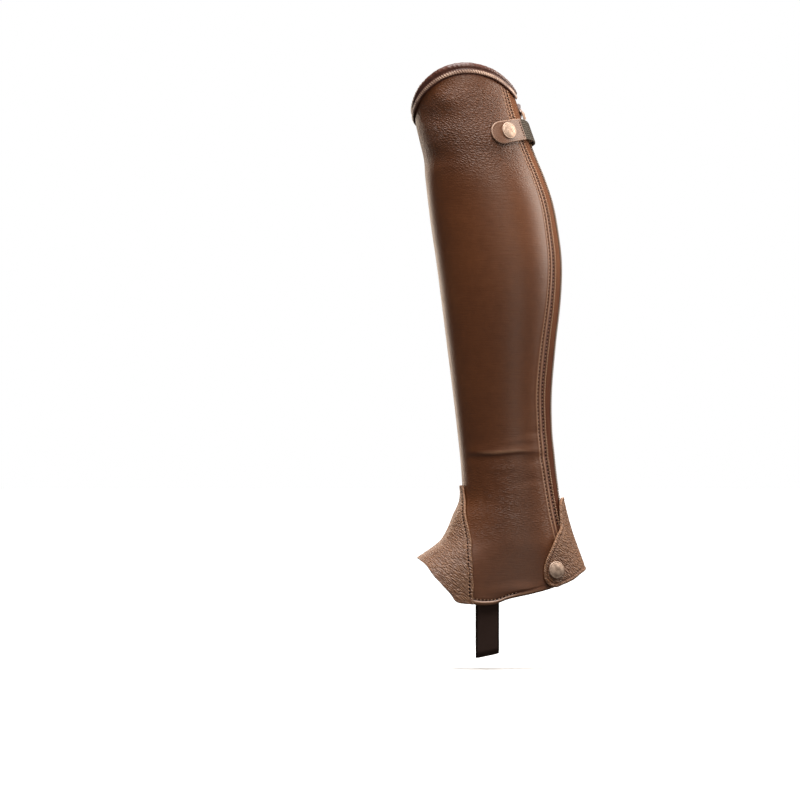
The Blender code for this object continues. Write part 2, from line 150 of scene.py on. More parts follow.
# Finer creases that lie between the folds, in the same terms
CREASES = (
    # height, rise, middle, reach, breadth, out
    (-302.0, 0.03, 24.0, 24.0, 4.5, 1.3),
    (134.0, 0.0, -17.0, 30.0, 9.0, 2.0),
    (116.0, 0.05, -42.0, 34.0, 9.0, -1.8),
    (108.0, -0.1, 22.0, 30.0, 10.0, 1.2),
    (-173.0, 0.05, 14.0, 34.0, 2.2, 0.3),
    (-197.0, 0.06, -6.0, 40.0, 3.0, 0.25),
    (-206.0, 0.02, 22.0, 36.0, 3.6, -0.3),
    (-214.0, 0.05, 30.0, 30.0, 3.0, 0.22),
    (-168.0, 0.06, 44.0, 30.0, 2.4, -0.3),
    (-230.0, 0.02, 10.0, 30.0, 5.0, -0.25),
    (-256.0, -0.04, 18.0, 44.0, 8.0, 0.35),
    (66.0, 0.12, -40.0, 40.0, 3.6, 0.3),
    (84.0, 0.05, 12.0, 40.0, 5.0, -0.3),
    (104.0, 0.02, -30.0, 44.0, 6.0, 0.3),
    (120.0, -0.06, -8.0, 50.0, 7.0, -0.25),
    (58.0, 0.02, 46.0, 30.0, 4.0, -0.25),
    (-176.5, 0.03, 210.0, 50.0, 1.2, -0.5),
    (-192.0, 0.05, 190.0, 44.0, 3.0, 0.35),
    (-204.0, 0.03, 214.0, 40.0, 3.2, -0.35),
    (-164.0, 0.04, 184.0, 36.0, 2.6, -0.3),
    (-240.0, -0.03, 196.0, 40.0, 6.0, 0.3),
    (60.0, 0.05, 196.0, 46.0, 4.5, 0.3),
    (88.0, 0.03, 220.0, 44.0, 5.0, 0.3),
    (98.0, -0.04, 176.0, 40.0, 4.0, -0.3),
    (34.0, 0.04, 150.0, 34.0, 5.0, -0.25),
)

# Laps, which slope out slowly from above and drop back short below, in the same terms
LAPS = (
    # height, rise, middle, reach, breadth, out
    (-180.2, 0.024, -4.0, 62.0, 4.0, 0.7),
)

# How short a lap drops for its breadth and how much of its rise is added again to the relief, which
# the leather paints lighter there as a painted highlight, how far its line wavers in mm and in how
# many waves round, and how sharply it fades at its ends. The same for a fold, whose line wavers by
# a share of its breadth and from a start that its height shifts.
LAP_DROP = 0.34
LAP_HIGHLIGHT_LIFT = 0.48
LAP_WAVER = 0.5
LAP_WAVES = 6.0
LAP_FADE = 1.4
FOLD_WAVER = 0.22
FOLD_WAVES = 7.3
FOLD_SHIFT = 11.0
FOLD_FADE = 2

# Height of the main panel's top edge by the angle from its peak
TOP_PEAK = 9.0
TOP_EDGE = (
    # angle, height
    (-30.0, 156.0),
    (0.0, 160.6),
    (30.0, 156.0),
    (60.0, 142.8),
    (90.0, 125.2),
    (120.0, 114.4),
    (150.0, 110.2),
    (180.0, 109.4),
    (210.0, 110.2),
)

# Height of the lower edge by side angle, which runs from -90 at the shin to 90 at the back on both
# sides. Forward of the hem the panel is cut away in a V, which the instep gusset covers.
HEM = (
    # side angle, height
    (-90.0, -219.5),
    (-80.0, -223.5),
    (-57.0, -240.5),
    (-37.0, -261.0),
    (-24.0, -275.0),
    (-6.0, -305.0),
    (2.0, -311.3),
    (12.0, -311.5),
    (18.0, -307.0),
    (30.0, -302.4),
    (44.0, -296.8),
    (66.0, -286.0),
    (90.0, -280.4),
)

# Angle of the main panel's stitched rear edge by height
REAR_EDGE = (
    # height, angle
    (167.2, 59.0),
    (127.0, 60.4),
    (90.0, 63.4),
    (48.0, 65.6),
    (10.0, 65.4),
    (-40.0, 64.0),
    (-81.0, 62.4),
    (-121.0, 60.0),
    (-159.0, 61.0),
    (-190.0, 61.4),
    (-220.0, 63.6),
    (-315.0, 64.0),
)
ZIP_ANGLE = 88.5
ZIP_HALF_ANGLE = 6.0
BINDING_STOP = 9.0

# The gusset's edge from its squared top corner down the side: height and side angle, and the
# height of its lower edge by side angle
GUSSET_EDGE = (
    # height, side angle
    (-207.0, -72.0),
    (-219.0, -65.5),
    (-240.7, -45.5),
    (-260.9, -29.4),
    (-274.6, -17.0),
    (-292.0, -6.0),
    (-309.0, 1.1),
    (-313.0, 3.0),
)
GUSSET_OUT = 0.8
GUSSET_HEM = (
    # side angle, height
    (-90.0, -272.4),
    (-70.0, -274.0),
    (-49.0, -279.2),
    (-27.0, -291.4),
    (-13.0, -302.6),
    (-6.5, -309.6),
    (3.0, -311.8),
)

# The heel tab by angle, from its rounded end on the outer side to its seam on the inner side
HEEL_TAB = (
    # angle, upper edge, lower edge
    (34.6, -280.0, -282.5),
    (35.6, -273.5, -289.2),
    (38.0, -267.8, -293.5),
    (41.0, -262.5, -295.8),
    (44.5, -257.5, -296.4),
    (49.7, -251.5, -294.2),
    (59.0, -243.7, -290.4),
    (64.0, -233.2, -288.0),
    (68.5, -224.4, -286.0),
    (75.0, -219.6, -284.4),
    (90.0, -218.2, -282.0),
    (104.0, -222.0, -284.5),
    (118.0, -232.0, -289.0),
)
HEEL_TAB_OUT = 1.7
HEEL_TAB_SPREAD = 0.35
HEEL_TAB_LANDING = (98.0, 112.0)

# The top strap by angle: its middle line and its half width
TOP_STRAP = (
    # angle, middle, half width
    (18.0, 100.2, 9.8),
    (38.0, 103.0, 9.6),
    (60.0, 104.8, 9.2),
    (75.0, 103.8, 8.9),
    (90.0, 101.4, 8.8),
    (110.0, 98.6, 8.8),
    (128.0, 97.2, 8.8),
)
TOP_TAB_START = 18.6
TOP_TAB_END = 61.0
TOP_TAB_TIP = 11.0
TOP_TAB_ROUND = 0.45
TOP_TAB_OUT = 2.2
TOP_STRAP_OUT = 3.0
TOP_STRAP_END = 126.0
TOP_STRAP_LANDING = (98.0, 112.0)

# Press studs: places on the leg, and the cap's profile
TOP_SNAP = (37.5, 103.2)
HEEL_SNAP = (43.6, -281.4)
CAP_PROFILE = (
    # radius, height
    (0.0, 2.42),
    (1.2, 2.44),
    (2.4, 2.4),
    (3.6, 2.22),
    (4.8, 1.92),
    (5.7, 1.6),
    (6.2, 1.36),
    (6.5, 1.3),
    (6.9, 1.3),
    (7.3, 1.1),
    (7.5, 0.75),
    (7.4, 0.35),
    (7.0, 0.1),
    (6.6, 0.0),
)
CAP_SIDES = 64
CAP_DENT = 0.1

# Rolled binding: how far it reaches down, the whipped ridge round its outer side, how far its
# puckers stand out, and its section, as distance out from the panel's outer face and height from
# the panel's top edge, once round from the foot of its outer leg
BINDING_LEG = 6.2
BINDING_STATIONS = 900
WHIP_PITCH = 2.4
WHIP_SLANT = 0.16
WHIP_HEIGHT = -4.0
WHIP_OUT = 0.26
RIDGE_OUT = 0.1
PUCKER_OUT = 0.1
BINDING_SECTION = (
    # out, height
    (0.5, -BINDING_LEG),
    (1.9, -BINDING_LEG),
    (2.4, -4.3),
    (2.0, -2.3),
    (1.5, -1.6),
    (2.6, -0.4),
    (2.9, 1.0),
    (2.0, 2.8),
    (0.0, 3.7),
    (-2.2, 3.6),
    (-4.0, 2.4),
    (-4.5, 0.6),
    (-3.9, -1.4),
    (-3.7, -BINDING_LEG),
    (-2.5, -BINDING_LEG),
    (-2.5, 0.5),
    (0.5, 0.5),
)

# Stirrup strap
STIRRUP_WIDTH = 20.4
STIRRUP_FRONT = -19.6
STIRRUP_WALL = 2.0
STIRRUP_TOP = -301.0
STIRRUP_FOOT = -357.0
STIRRUP_FOOT_Y = 33.6
STIRRUP_BEND = 7.0
STIRRUP_TILT = 12.0

# The shares of the strap's way to the middle of the sole at which it bends and is flat again
STIRRUP_BEND_START = 0.62
STIRRUP_BEND_END = 0.72

# Zip slider and pull, as depth, width and length, how far out the slider lies, its narrowest share,
# its plate and bridge, half the pull's width at its foot and head as shares, its rim and the dip
# within, and the teeth below them
SLIDER_HEIGHT = 117.0
SLIDER_SIZE = (2.4, 8.0, 10.0)
PULL_SIZE = (1.3, 6.5, 18.0)
PULL_HEIGHT = SLIDER_HEIGHT - (SLIDER_SIZE[2] + PULL_SIZE[2]) / 2
ZIP_BEAD = 1.5
SLIDER_OUT = ZIP_BEAD - TAPE_RECESS + LAYER_GAP
SLIDER_WAIST = 0.72
PLATE_DEPTH = 1.488
BRIDGE_SIZE = (1.8, 6.6, 1.2)
BRIDGE_PLACE = (0.0, 0.2, 1.872)
PULL_FOOT = 0.5
PULL_HEAD = 0.36
PULL_RIM = 0.9
PULL_DIP = -0.35
TOOTH_PITCH = 1.5
TOOTH_SIZE = (0.95, 3.1, 1.35)
TOOTH_TAPER = 0.35
TEETH_ASIDE = 1.15
TEETH_OUT = 0.08
TEETH_HEAD = SLIDER_HEIGHT - 3.0
TEETH_FOOT = -300.0
TEETH_CLEARANCE = 1.5

# The angle in radians past which an edge of the slider or the pull is rounded
RIM_TURN = 0.9

# A stitch: how many threads are twisted in it, how many turns they make, how far they stand out,
# how sharply it tapers at its ends, how high it arches and how deep it starts, in radii, how many
# degrees it strays from its row, and the rings and sides of its mesh
PLIES = 2
STITCH_TURNS = 1.1
STITCH_LOBE = 0.2
STITCH_TAPER = 0.35
STITCH_ARCH = 1.1
STITCH_ARCH_TAPER = 0.6
STITCH_START = -0.75
STITCH_STRAY = 3.0
STITCH_RINGS = 9
STITCH_SIDES = 8

# The dents between stitches: how far they reach under the stitches and how much of the pitch they
# take at most, how high their middle and how deep their foot lies, and how far they are dished
HOLE_REACH = 0.8
HOLE_MOST = 0.66
HOLE_SIDES = 10
HOLE_MIDDLE = 0.06
HOLE_DISH = 1.1
HOLE_FOOT = -0.2

# Rows of stitches: how far apart the stitches are, and where the rows lie, as distances from an
# edge. Those of the rear edge differ by height.
ROW_PITCH = 3.2
ZIP_ROW_PITCH = 4.0
REAR_ROWS = (
    # height, the near row, the far row
    (160.0, 2.8, 7.8),
    (127.0, 2.8, 8.0),
    (75.0, 3.0, 8.2),
    (48.0, 3.4, 8.6),
    (-4.0, 3.4, 9.6),
    (-81.0, 3.6, 11.0),
    (-121.0, 3.6, 10.0),
    (-159.0, 2.8, 9.6),
    (-220.0, 2.8, 9.4),
    (-315.0, 2.8, 9.4),
)
REAR_ROWS_FOOT = -244.0
ZIP_ROW = 3.2
ZIP_ROW_FOOT = -276.0
GUSSET_ROW = (
    # height, distance from the gusset's edge
    (-210.0, 3.2),
    (-245.0, 4.6),
    (-273.0, 5.2),
    (-287.0, 4.4),
    (-306.0, 2.4),
)
TOP_TAB_ROW = 2.5
HEM_ROW = 4.7
HEM_ROW_ENDS = (-6.0, 22.0)

# Rolls and dips that stand beside edges and rows of stitches. The seam's strip is sunken between
# its edge and the far row, as distances at which its sides slope.
SEAM_ROLLS = (
    # from the far row, breadth, out
    (1.9, 1.0, 0.45),
    (-2.2, 1.1, 0.45),
    (0.0, 0.8, -0.5),
)
SEAM_LIP = (
    # from the edge, breadth, out
    (0.8, 0.6, 0.3),
)
LIP_ROW = 0.9
SEAM_STRIP_START = (1.2, 2.2)
SEAM_STRIP_END = (-3.6, -4.6)
SEAM_STRIP_DEPTH = 0.45
ZIP_EDGE_ROLLS = (
    # from the edge, breadth, out
    (ZIP_ROW, 0.8, -0.35),
)
BINDING_GROOVE = (
    # from the top edge, breadth, out
    (BINDING_LEG + 0.8, 1.2, -0.7),
)
GUSSET_ROLLS = (
    # from the row, breadth, out
    (-2.2, 0.9, 0.12),
    (3.0, 2.0, 0.2),
    (0.0, 1.0, -0.4),
)
HEEL_TAB_ROLLS = (
    # from the rim, breadth, out
    (3.1, 0.6, -0.45),
    (1.7, 0.8, 0.18),
)
TOP_TAB_RIM_ROLLS = (
    # from the rim, breadth, out
    (2.4, 0.8, -0.1),
    (1.2, 0.6, 0.08),
)
TOP_TAB_END_ROLLS = (
    # from the end over the elastic, breadth, out
    (TOP_TAB_ROW, 0.9, -0.4),
    (4.6, 0.9, 0.2),
)

# The hem's bead and the groove above it, along the hem and at its front corner, where they are
# stronger. The corner is a side angle and how far it reaches each way.
HEM_CORNER = (6.0, 22.0)
HEM_ROLLS = (
    # from the edge, breadth, out
    (1.6, 1.1, 0.15),
    (4.6, 1.1, -0.15),
)
HEM_CORNER_ROLLS = (
    # from the edge, breadth, out
    (2.6, 1.6, 0.9),
    (4.6, 1.1, -0.5),
)

# Where the grain of the shaft changes, as heights in metres
KNEE_RISE = (0.030, 0.105)
ANKLE_RISE = (-0.275, -0.235)
ANKLE_FALL = (-0.178, -0.188)

# How the gusset's and heel tab's grain leans
GRAIN_LEAN = (0, 38, 0)

# How far a grain wanders for its size, and how far from a crease it reaches its crown
GRAIN_WANDER = 0.35
GRAIN_CROWN = 0.34

# Ribs: how far apart in mm on the elastics, in radians to a mm on the stretch band, and how far
# they and the cloth between them stand out or are sunk
TOP_STRAP_RIB = 1.1
STIRRUP_RIB = 0.9
BAND_RIBS = 5.2
TOP_STRAP_RIB_OUT = 0.32
TOP_STRAP_SUNK = -0.2
STIRRUP_RIB_OUT = 0.06
SELVEDGE_SUNK = -0.25
BAND_SWELL = 0.35
BAND_RIB_OUT = 0.05

rng = np.random.default_rng(7)


def smooth_value(table, place, column):
    """Read a column of a table on a smooth curve through its rows, at any number of places."""
    rows = np.array(table, dtype=float)
    if rows[0, 0] > rows[-1, 0]:
        rows = rows[::-1]
    at, value = rows[:, 0], rows[:, column]
    last = len(at) - 1
    low = np.maximum(np.arange(last + 1) - 1, 0)
    high = np.minimum(np.arange(last + 1) + 1, last)
    slope = (value[high] - value[low]) / (at[high] - at[low])
    place = np.clip(place, at[0], at[-1])
    index = np.clip(np.searchsorted(at, place) - 1, 0, last - 1)
    span = at[index + 1] - at[index]
    t = (place - at[index]) / span
    return (
        (2 * t ** 3 - 3 * t ** 2 + 1) * value[index]
        + (t ** 3 - 2 * t ** 2 + t) * span * slope[index]
        + (3 * t ** 2 - 2 * t ** 3) * value[index + 1]
        + (t ** 3 - t ** 2) * span * slope[index + 1]
    )


def smooth_values(table, place, *columns):
    return [smooth_value(table, place, column) for column in columns]


def mix(start, end, share):
    return start + (end - start) * share


def soft_step(value, start, end):
    share = np.clip((value - start) / (end - start), 0.0, 1.0)
    return share * share * (3 - 2 * share)


def bump_at(value, middle, breadth):
    return np.exp(-((value - middle) / breadth) ** 2)


def rolled(distance, rolls):
    """How far the rolls and dips of a worked edge stand out, by the distance from it."""
    return sum(out * bump_at(distance, at, breadth) for at, breadth, out in rolls)


def length_of(vectors):
    return np.linalg.norm(vectors, axis=-1)


def unit(vectors):
    return vectors / length_of(vectors)[..., None]


def side_angle(angle):
    """The angle's place between the shin (-90) and the back (90), alike on both sides."""
    return np.degrees(np.arcsin(np.sin(np.radians(angle))))


def turn_between(angle, middle):
    """How far an angle lies from another, in degrees, the short way round."""
    return np.abs((angle - middle + 180) % 360 - 180)


def bare_leg(angle, height):
    """Points of the main panel's outer face, without its folds."""
    front, back, width, egg = smooth_values(LEG, height, 1, 2, 3, 4)
    across = np.sin(np.radians(angle))
    x = (front + back) / 2 + (back - front) / 2 * across
    y = -width * np.cos(np.radians(angle)) * (1 + egg * across)
    return np.stack(np.broadcast_arrays(x, y, height), axis=-1)


def fade_out(angle, middle, reach, power):
    """1 at the middle of a fold and 0 at its ends."""
    away = np.minimum(turn_between(angle, middle) / reach, 1.0)
    return np.cos(np.radians(90 * away)) ** power


def lap_out(angle, height):
    """How far the laps move the leather out at each place."""
    out = 0.0
    waver = LAP_WAVER * np.sin(np.radians(angle * LAP_WAVES))
    for lap_height, rise, middle, reach, breadth, depth in LAPS:
        line = lap_height + rise * (side_angle(angle) - SHIN) + waver
        slope = np.where(height < line, LAP_DROP, 1.0) * breadth
        fade = fade_out(angle, middle, reach, LAP_FADE)
        out = out + depth * fade * bump_at(height, line, slope)
    return out


def fold_out(angle, height):
    """How far the folds, creases and laps move the leather out at each place."""
    out = lap_out(angle, height)
    for fold_height, rise, middle, reach, breadth, depth in FOLDS + CREASES:
        waver = np.sin(np.radians(angle * FOLD_WAVES + fold_height * FOLD_SHIFT))
        line = fold_height + rise * (side_angle(angle) - SHIN) + FOLD_WAVER * breadth * waver
        fade = fade_out(angle, middle, reach, FOLD_FADE)
        out = out + depth * fade * bump_at(height, line, breadth)
    return out


def level_step(angle, height):
    """What a step of the angle each way spans on the leg, all at one height."""
    return bare_leg(angle + STEP, height) - bare_leg(angle - STEP, height)


def leg_normal(angle, height):
    up = bare_leg(angle, height + STEP) - bare_leg(angle, height - STEP)
    return unit(np.cross(level_step(angle, height), up))


def leg_point(angle, height, out=0.0):
    """Points of the leg's surface, moved out along its normal."""
    out = np.asarray(out + fold_out(angle, height))
    return bare_leg(angle, height) + leg_normal(angle, height) * out[..., None]


def top_height(angle):
    return smooth_value(TOP_EDGE, turn_between(angle, TOP_PEAK), 1)


def hem_height(angle):
    return smooth_value(HEM, side_angle(angle), 1)


def gap_angle(angle, height, distance):
    """The angle that a distance along the surface spans at each place."""
    return distance * 2 * STEP / length_of(level_step(angle, height))


def add_object(name, data):
    item = bpy.data.objects.new(name, data)
    bpy.context.scene.collection.objects.link(item)
    return item


def add_piece(name, mesh, finish):
    """Make a finished mesh a piece of the half chap that rides on its body."""
    mesh.materials.append(finish)
    piece = add_object(name, mesh)
    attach(piece, BODY)
    return piece


def mesh_of(name, bm):
    mesh = bpy.data.meshes.new(name)
    bm.to_mesh(mesh)
    bm.free()
    return mesh


def finish_mesh(name, bm, finish):
    """Make a finished bmesh a smooth shaded piece with its sharp edges kept."""
    mesh = mesh_of(name, bm)
    mesh.shade_smooth()
    mesh.set_sharp_from_angle(angle=np.radians(SHARP))
    return add_piece(name, mesh, finish)


def thicken(bm, height):
    """Close a flat sheet with a copy at another height, and return the copy's vertices."""
    made = bmesh.ops.extrude_face_region(bm, geom=bm.faces[:], use_keep_orig=True)
    moved = [item for item in made["geom"] if isinstance(item, bmesh.types.BMVert)]
    bmesh.ops.translate(bm, vec=(0.0, 0.0, height), verts=moved)
    bmesh.ops.recalc_face_normals(bm, faces=bm.faces)
    return moved


def round_edges(bm, edges, offset, segments):
    bmesh.ops.bevel(
        bm, geom=edges, offset=offset, segments=segments, profile=0.5, affect="EDGES", material=-1
    )


def rim_edges(bm):
    return [edge for edge in bm.edges if edge.calc_face_angle(0) > RIM_TURN]


def fill_open_ends(bm, sides):
    open_edges = [edge for edge in bm.edges if edge.is_boundary]
    bmesh.ops.holes_fill(bm, edges=open_edges, sides=sides)
    bmesh.ops.recalc_face_normals(bm, faces=bm.faces)


def shares(count, length, near=RIM_STEPS, far=None):
    """Shares along a side of a length, closer together near its start and its end."""
    start = np.array(near) / length
    end = start if far is None else np.array(far) / length
    middle = np.linspace(start[-1], 1 - end[-1], count + 1)[1:-1]
    return np.concatenate((start, middle, 1 - end[::-1]))


def running_length(points, axis):
    steps = length_of(np.diff(points, axis=axis))
    start = np.zeros_like(np.take(steps, [0], axis=axis))
    return np.concatenate((start, np.cumsum(steps, axis=axis)), axis=axis)


def rim_distance(points):
    """The distance of each point of a grid to the nearest point of the grid's rim."""
    edges = (points[0], points[-1], points[:, 0], points[:, -1])
    rim = np.concatenate(edges)
    tree = KDTree(len(rim))
    for index, point in enumerate(rim):
        tree.insert(point, index)
    tree.balance()
    flat = points.reshape(-1, 3)
    return np.array([tree.find(point)[2] for point in flat]).reshape(points.shape[:2])


def measure(points, s, t):
    """The shares at which the points of a grid lie, and their distances in mm from each edge of it
    and from the nearest of them."""
    across = running_length(points, 0)
    along = running_length(points, 1)
    return SimpleNamespace(
        s=s,
        t=t,
        start=across,
        end=across[-1:] - across,
        low=along,
        high=along[:, -1:] - along,
        rim=rim_distance(points),
    )


def add_shell(name, across, along, place, wall, finish, relief=None, rim_round=RIM_ROUND):
    """A closed shell of cloth. place(s, t, out) gives the points at shares s and t, out from the
    outer face, and relief(sizes) how far it stands out at each. The cloth attribute holds the mm
    across, the mm along and the mm from the rim, which is below 0 inside. The lift attribute
    holds the relief in mm."""
    s, t = np.meshgrid(across, along, indexing="ij")
    sizes = measure(place(s, t, 0.0), s, t)
    rounded = rim_round - np.minimum(sizes.rim, rim_round)
    drop = rim_round - np.sqrt(rim_round ** 2 - rounded ** 2)
    lift = np.zeros_like(s)
    if relief:
        lift = lift + relief(sizes)
    outer = place(s, t, lift - drop)
    inner = place(s, t, drop - wall)

    bm = bmesh.new()
    columns, rows = len(across) - 1, len(along) - 1
    bmesh.ops.create_grid(bm, x_segments=columns, y_segments=rows, size=0.5)
    thicken(bm, -1.0)
    found = np.array([vert.co for vert in bm.verts])
    column = np.rint((found[:, 0] + 0.5) * columns).astype(int)
    row = np.rint((found[:, 1] + 0.5) * rows).astype(int)
    inside = (found[:, 2] < -0.5)[:, None]
    points = np.where(inside, inner[column, row], outer[column, row]) * MM
    cloth = np.stack((sizes.start, sizes.low, sizes.rim), axis=-1)[column, row]
    cloth[:, 2:] *= np.where(inside, -1, 1)
    lift = np.where(inside[:, 0], 0.0, lift[column, row])
    layer = bm.verts.layers.float_vector.new("cloth")
    lift_layer = bm.verts.layers.float.new("lift")
    for vert, point, value, height in zip(bm.verts, points, cloth, lift):
        vert.co = point
        vert[layer] = value
        vert[lift_layer] = height
    bmesh.ops.remove_doubles(bm, verts=bm.verts, dist=MERGE * MM)
    return finish_mesh(name, bm, finish)


def add_many(name, template, places, turns, finish):
    """One mesh of many copies of a small template bmesh, each with its own place and turn."""
    template.verts.index_update()
    shape = np.array([vert.co for vert in template.verts])
    faces = np.array([[vert.index for vert in face.verts] for face in template.faces])
    template.free()
    points = np.einsum("nij,kj->nki", turns, shape) + places[:, None]
    offsets = np.arange(len(places))[:, None, None] * len(shape)
    mesh = bpy.data.meshes.new(name)
    mesh.from_pydata(points.reshape(-1, 3) * MM, [], (faces + offsets).reshape(-1, faces.shape[1]))
    mesh.shade_smooth()
    return add_piece(name, mesh, finish)


def along_path(points, normals, pitch, slack=0.5):
    """Places and turns at a pitch along a path: x along it, z out of the cloth."""
    run = running_length(points[:, None], 0)[:, 0]
    count = int((run[-1] - 2 * slack * pitch) / pitch) + 1
    middles = (run[-1] - (count - 1) * pitch) / 2 + pitch * np.arange(count)

    def read(values, at):
        return np.stack([np.interp(at, run, values[:, axis]) for axis in range(3)], axis=-1)

    places = read(points, middles)
    forward = unit(read(points, middles + PATH_STEP) - read(points, middles - PATH_STEP))
    up = read(normals, middles)
    up = unit(up - forward * np.sum(up * forward, axis=-1)[:, None])
    turns = np.stack((forward, np.cross(up, forward), up), axis=-1)
    return places, turns


def stitch_template(length, radius):
    """A stitch of twisted thread that rises out of the leather and goes back into it."""
    bm = bmesh.new()
    bmesh.ops.create_grid(bm, x_segments=STITCH_RINGS, y_segments=STITCH_SIDES, size=0.5)
    for vert in bm.verts:
        share = vert.co.x + 0.5
        turn = 2 * np.pi * (vert.co.y + 0.5)
        lobe = 1 + STITCH_LOBE * np.cos(PLIES * (turn - 2 * np.pi * STITCH_TURNS * share))
        thick = radius * lobe * np.sin(np.pi * share) ** STITCH_TAPER
        arch = STITCH_ARCH * np.sin(np.pi * share) ** STITCH_ARCH_TAPER
        centre = radius * (STITCH_START + arch)
        x = (share - 0.5) * length
        vert.co = (x, thick * np.cos(turn), centre + thick * np.sin(turn))
    bmesh.ops.remove_doubles(bm, verts=bm.verts, dist=0.001)
    bmesh.ops.recalc_face_normals(bm, faces=bm.faces)
    bmesh.ops.triangulate(bm, faces=bm.faces)
    return bm


def hole_template(length, width):
    """The dent that two stitches share: a dished plug that just shows above the leather, coloured
    dark as painted shade in the hole.
    """
    bm = bmesh.new()
    bmesh.ops.create_cone(
        bm, cap_ends=True, cap_tris=True, segments=HOLE_SIDES, radius1=0.5, radius2=0.5, depth=1.0
    )
    for vert in bm.verts:
        vert.co.z = HOLE_MIDDLE + HOLE_DISH * vert.co.y ** 2 if vert.co.z > 0 else HOLE_FOOT
    bmesh.ops.scale(bm, vec=(length, width, 1.0), verts=bm.verts)
    bmesh.ops.recalc_face_normals(bm, faces=bm.faces)
    bmesh.ops.triangulate(bm, faces=bm.faces)
    return bm


def row_beside(place, inward, along, distance, relief, level=False):
    """Points and normals of a row beside an edge of a shell. inward holds the shares from that edge
    inwards, along those down it, or level if the edge is a lower one. distance(height) is in mm
    from the edge and relief(distance, height) how far out the shell stands there."""
    first, second = np.meshgrid(inward, along, indexing="ij")
    flat = place(second, first, 0.0) if level else place(first, second, 0.0)
    run = running_length(flat, 0)
    height = flat[0, :, 2]
    gap = distance(height)
    found = np.array([np.interp(gap[i], run[:, i], inward) for i in range(len(along))])
    s, t = (along, found) if level else (found, along)
    out = relief(gap, height)
    points = place(s, t, out)
    return points, unit(place(s, t, out + 1.0) - points)


def add_stitches(
    name, points, normals, pitch, share=0.7, radius=0.34, hole=0.9, slant=0.0, aside=0.0,
    finish=None,
):
    """A row of stitches along a path on the cloth, or aside of it, and the holes between them, dark
    plugs that paint the shade in the holes. A stitch is a share of the pitch long, and hole is how
    wide the holes are, if there are any."""
    places, turns = along_path(points, normals, pitch)
    places = places + turns[:, :, 1] * aside
    swing = np.radians(slant + rng.normal(0, STITCH_STRAY, len(places)))
    zero, one = np.zeros_like(swing), np.ones_like(swing)
    spin = np.array([
        [np.cos(swing), -np.sin(swing), zero],
        [np.sin(swing), np.cos(swing), zero],
        [zero, zero, one],
    ]).transpose(2, 0, 1)
    stitch = stitch_template(pitch * share, radius)
    threads = add_many(name, stitch, places, turns @ spin, finish or threads_finish)
    if not hole:
        return [threads]
    between, between_turns = along_path(points, normals, pitch, slack=1.0)
    dent = hole_template(min(pitch * (1 - share) + HOLE_REACH, pitch * HOLE_MOST), hole)
    return [threads, add_many(name + "_holes", dent, between, between_turns, hole_shade_finish)]


class Value:
    """A number that varies over a finish. Sums on it add Math nodes."""

    def __init__(self, nodes, socket):
        self.nodes = nodes
        self.socket = socket

    def maths(self, operation, *values):
        return self.nodes.add("ShaderNodeMath", {"operation": operation}, dict(enumerate(values)))

    def __add__(self, other):
        return self.maths("ADD", self, other)

    def __sub__(self, other):
        return self.maths("SUBTRACT", self, other)

    def __rsub__(self, other):
        return self.maths("SUBTRACT", other, self)

    def __mul__(self, other):
        return self.maths("MULTIPLY", self, other)

    __radd__ = __add__
    __rmul__ = __mul__

    def sine(self):
        return self.maths("SINE", self)

    def wave(self):
        """A wave between 0 and 1 along the value."""
        return self.sine() * 0.5 + 0.5

    def within(self, low, high):
        """0 below low, 1 above high and a soft step between, or the other way round."""
        if low > high:
            return 1 - self.within(high, low)
        return self.nodes.soft_range(self, {"From Min": low, "From Max": high})


class Nodes:
    """A tree of shader nodes."""

    def __init__(self, tree):
        self.tree = tree

    def add(self, kind, settings=None, inputs=None, output=0):
        node = self.tree.nodes.new(kind)
        for key, value in (settings or {}).items():
            setattr(node, key, value)
        for key, value in (inputs or {}).items():
            if isinstance(value, Value):
                self.tree.links.new(value.socket, node.inputs[key])
            else:
                node.inputs[key].default_value = value
        return Value(self, node.outputs[output])

    def parts(self, vector):
        split = self.add("ShaderNodeSeparateXYZ", inputs={0: vector}).socket.node
        return [Value(self, socket) for socket in split.outputs]

    def soft_range(self, value, limits):
        settings = {"interpolation_type": "SMOOTHSTEP"}
        return self.add("ShaderNodeMapRange", settings, {"Value": value, **limits})


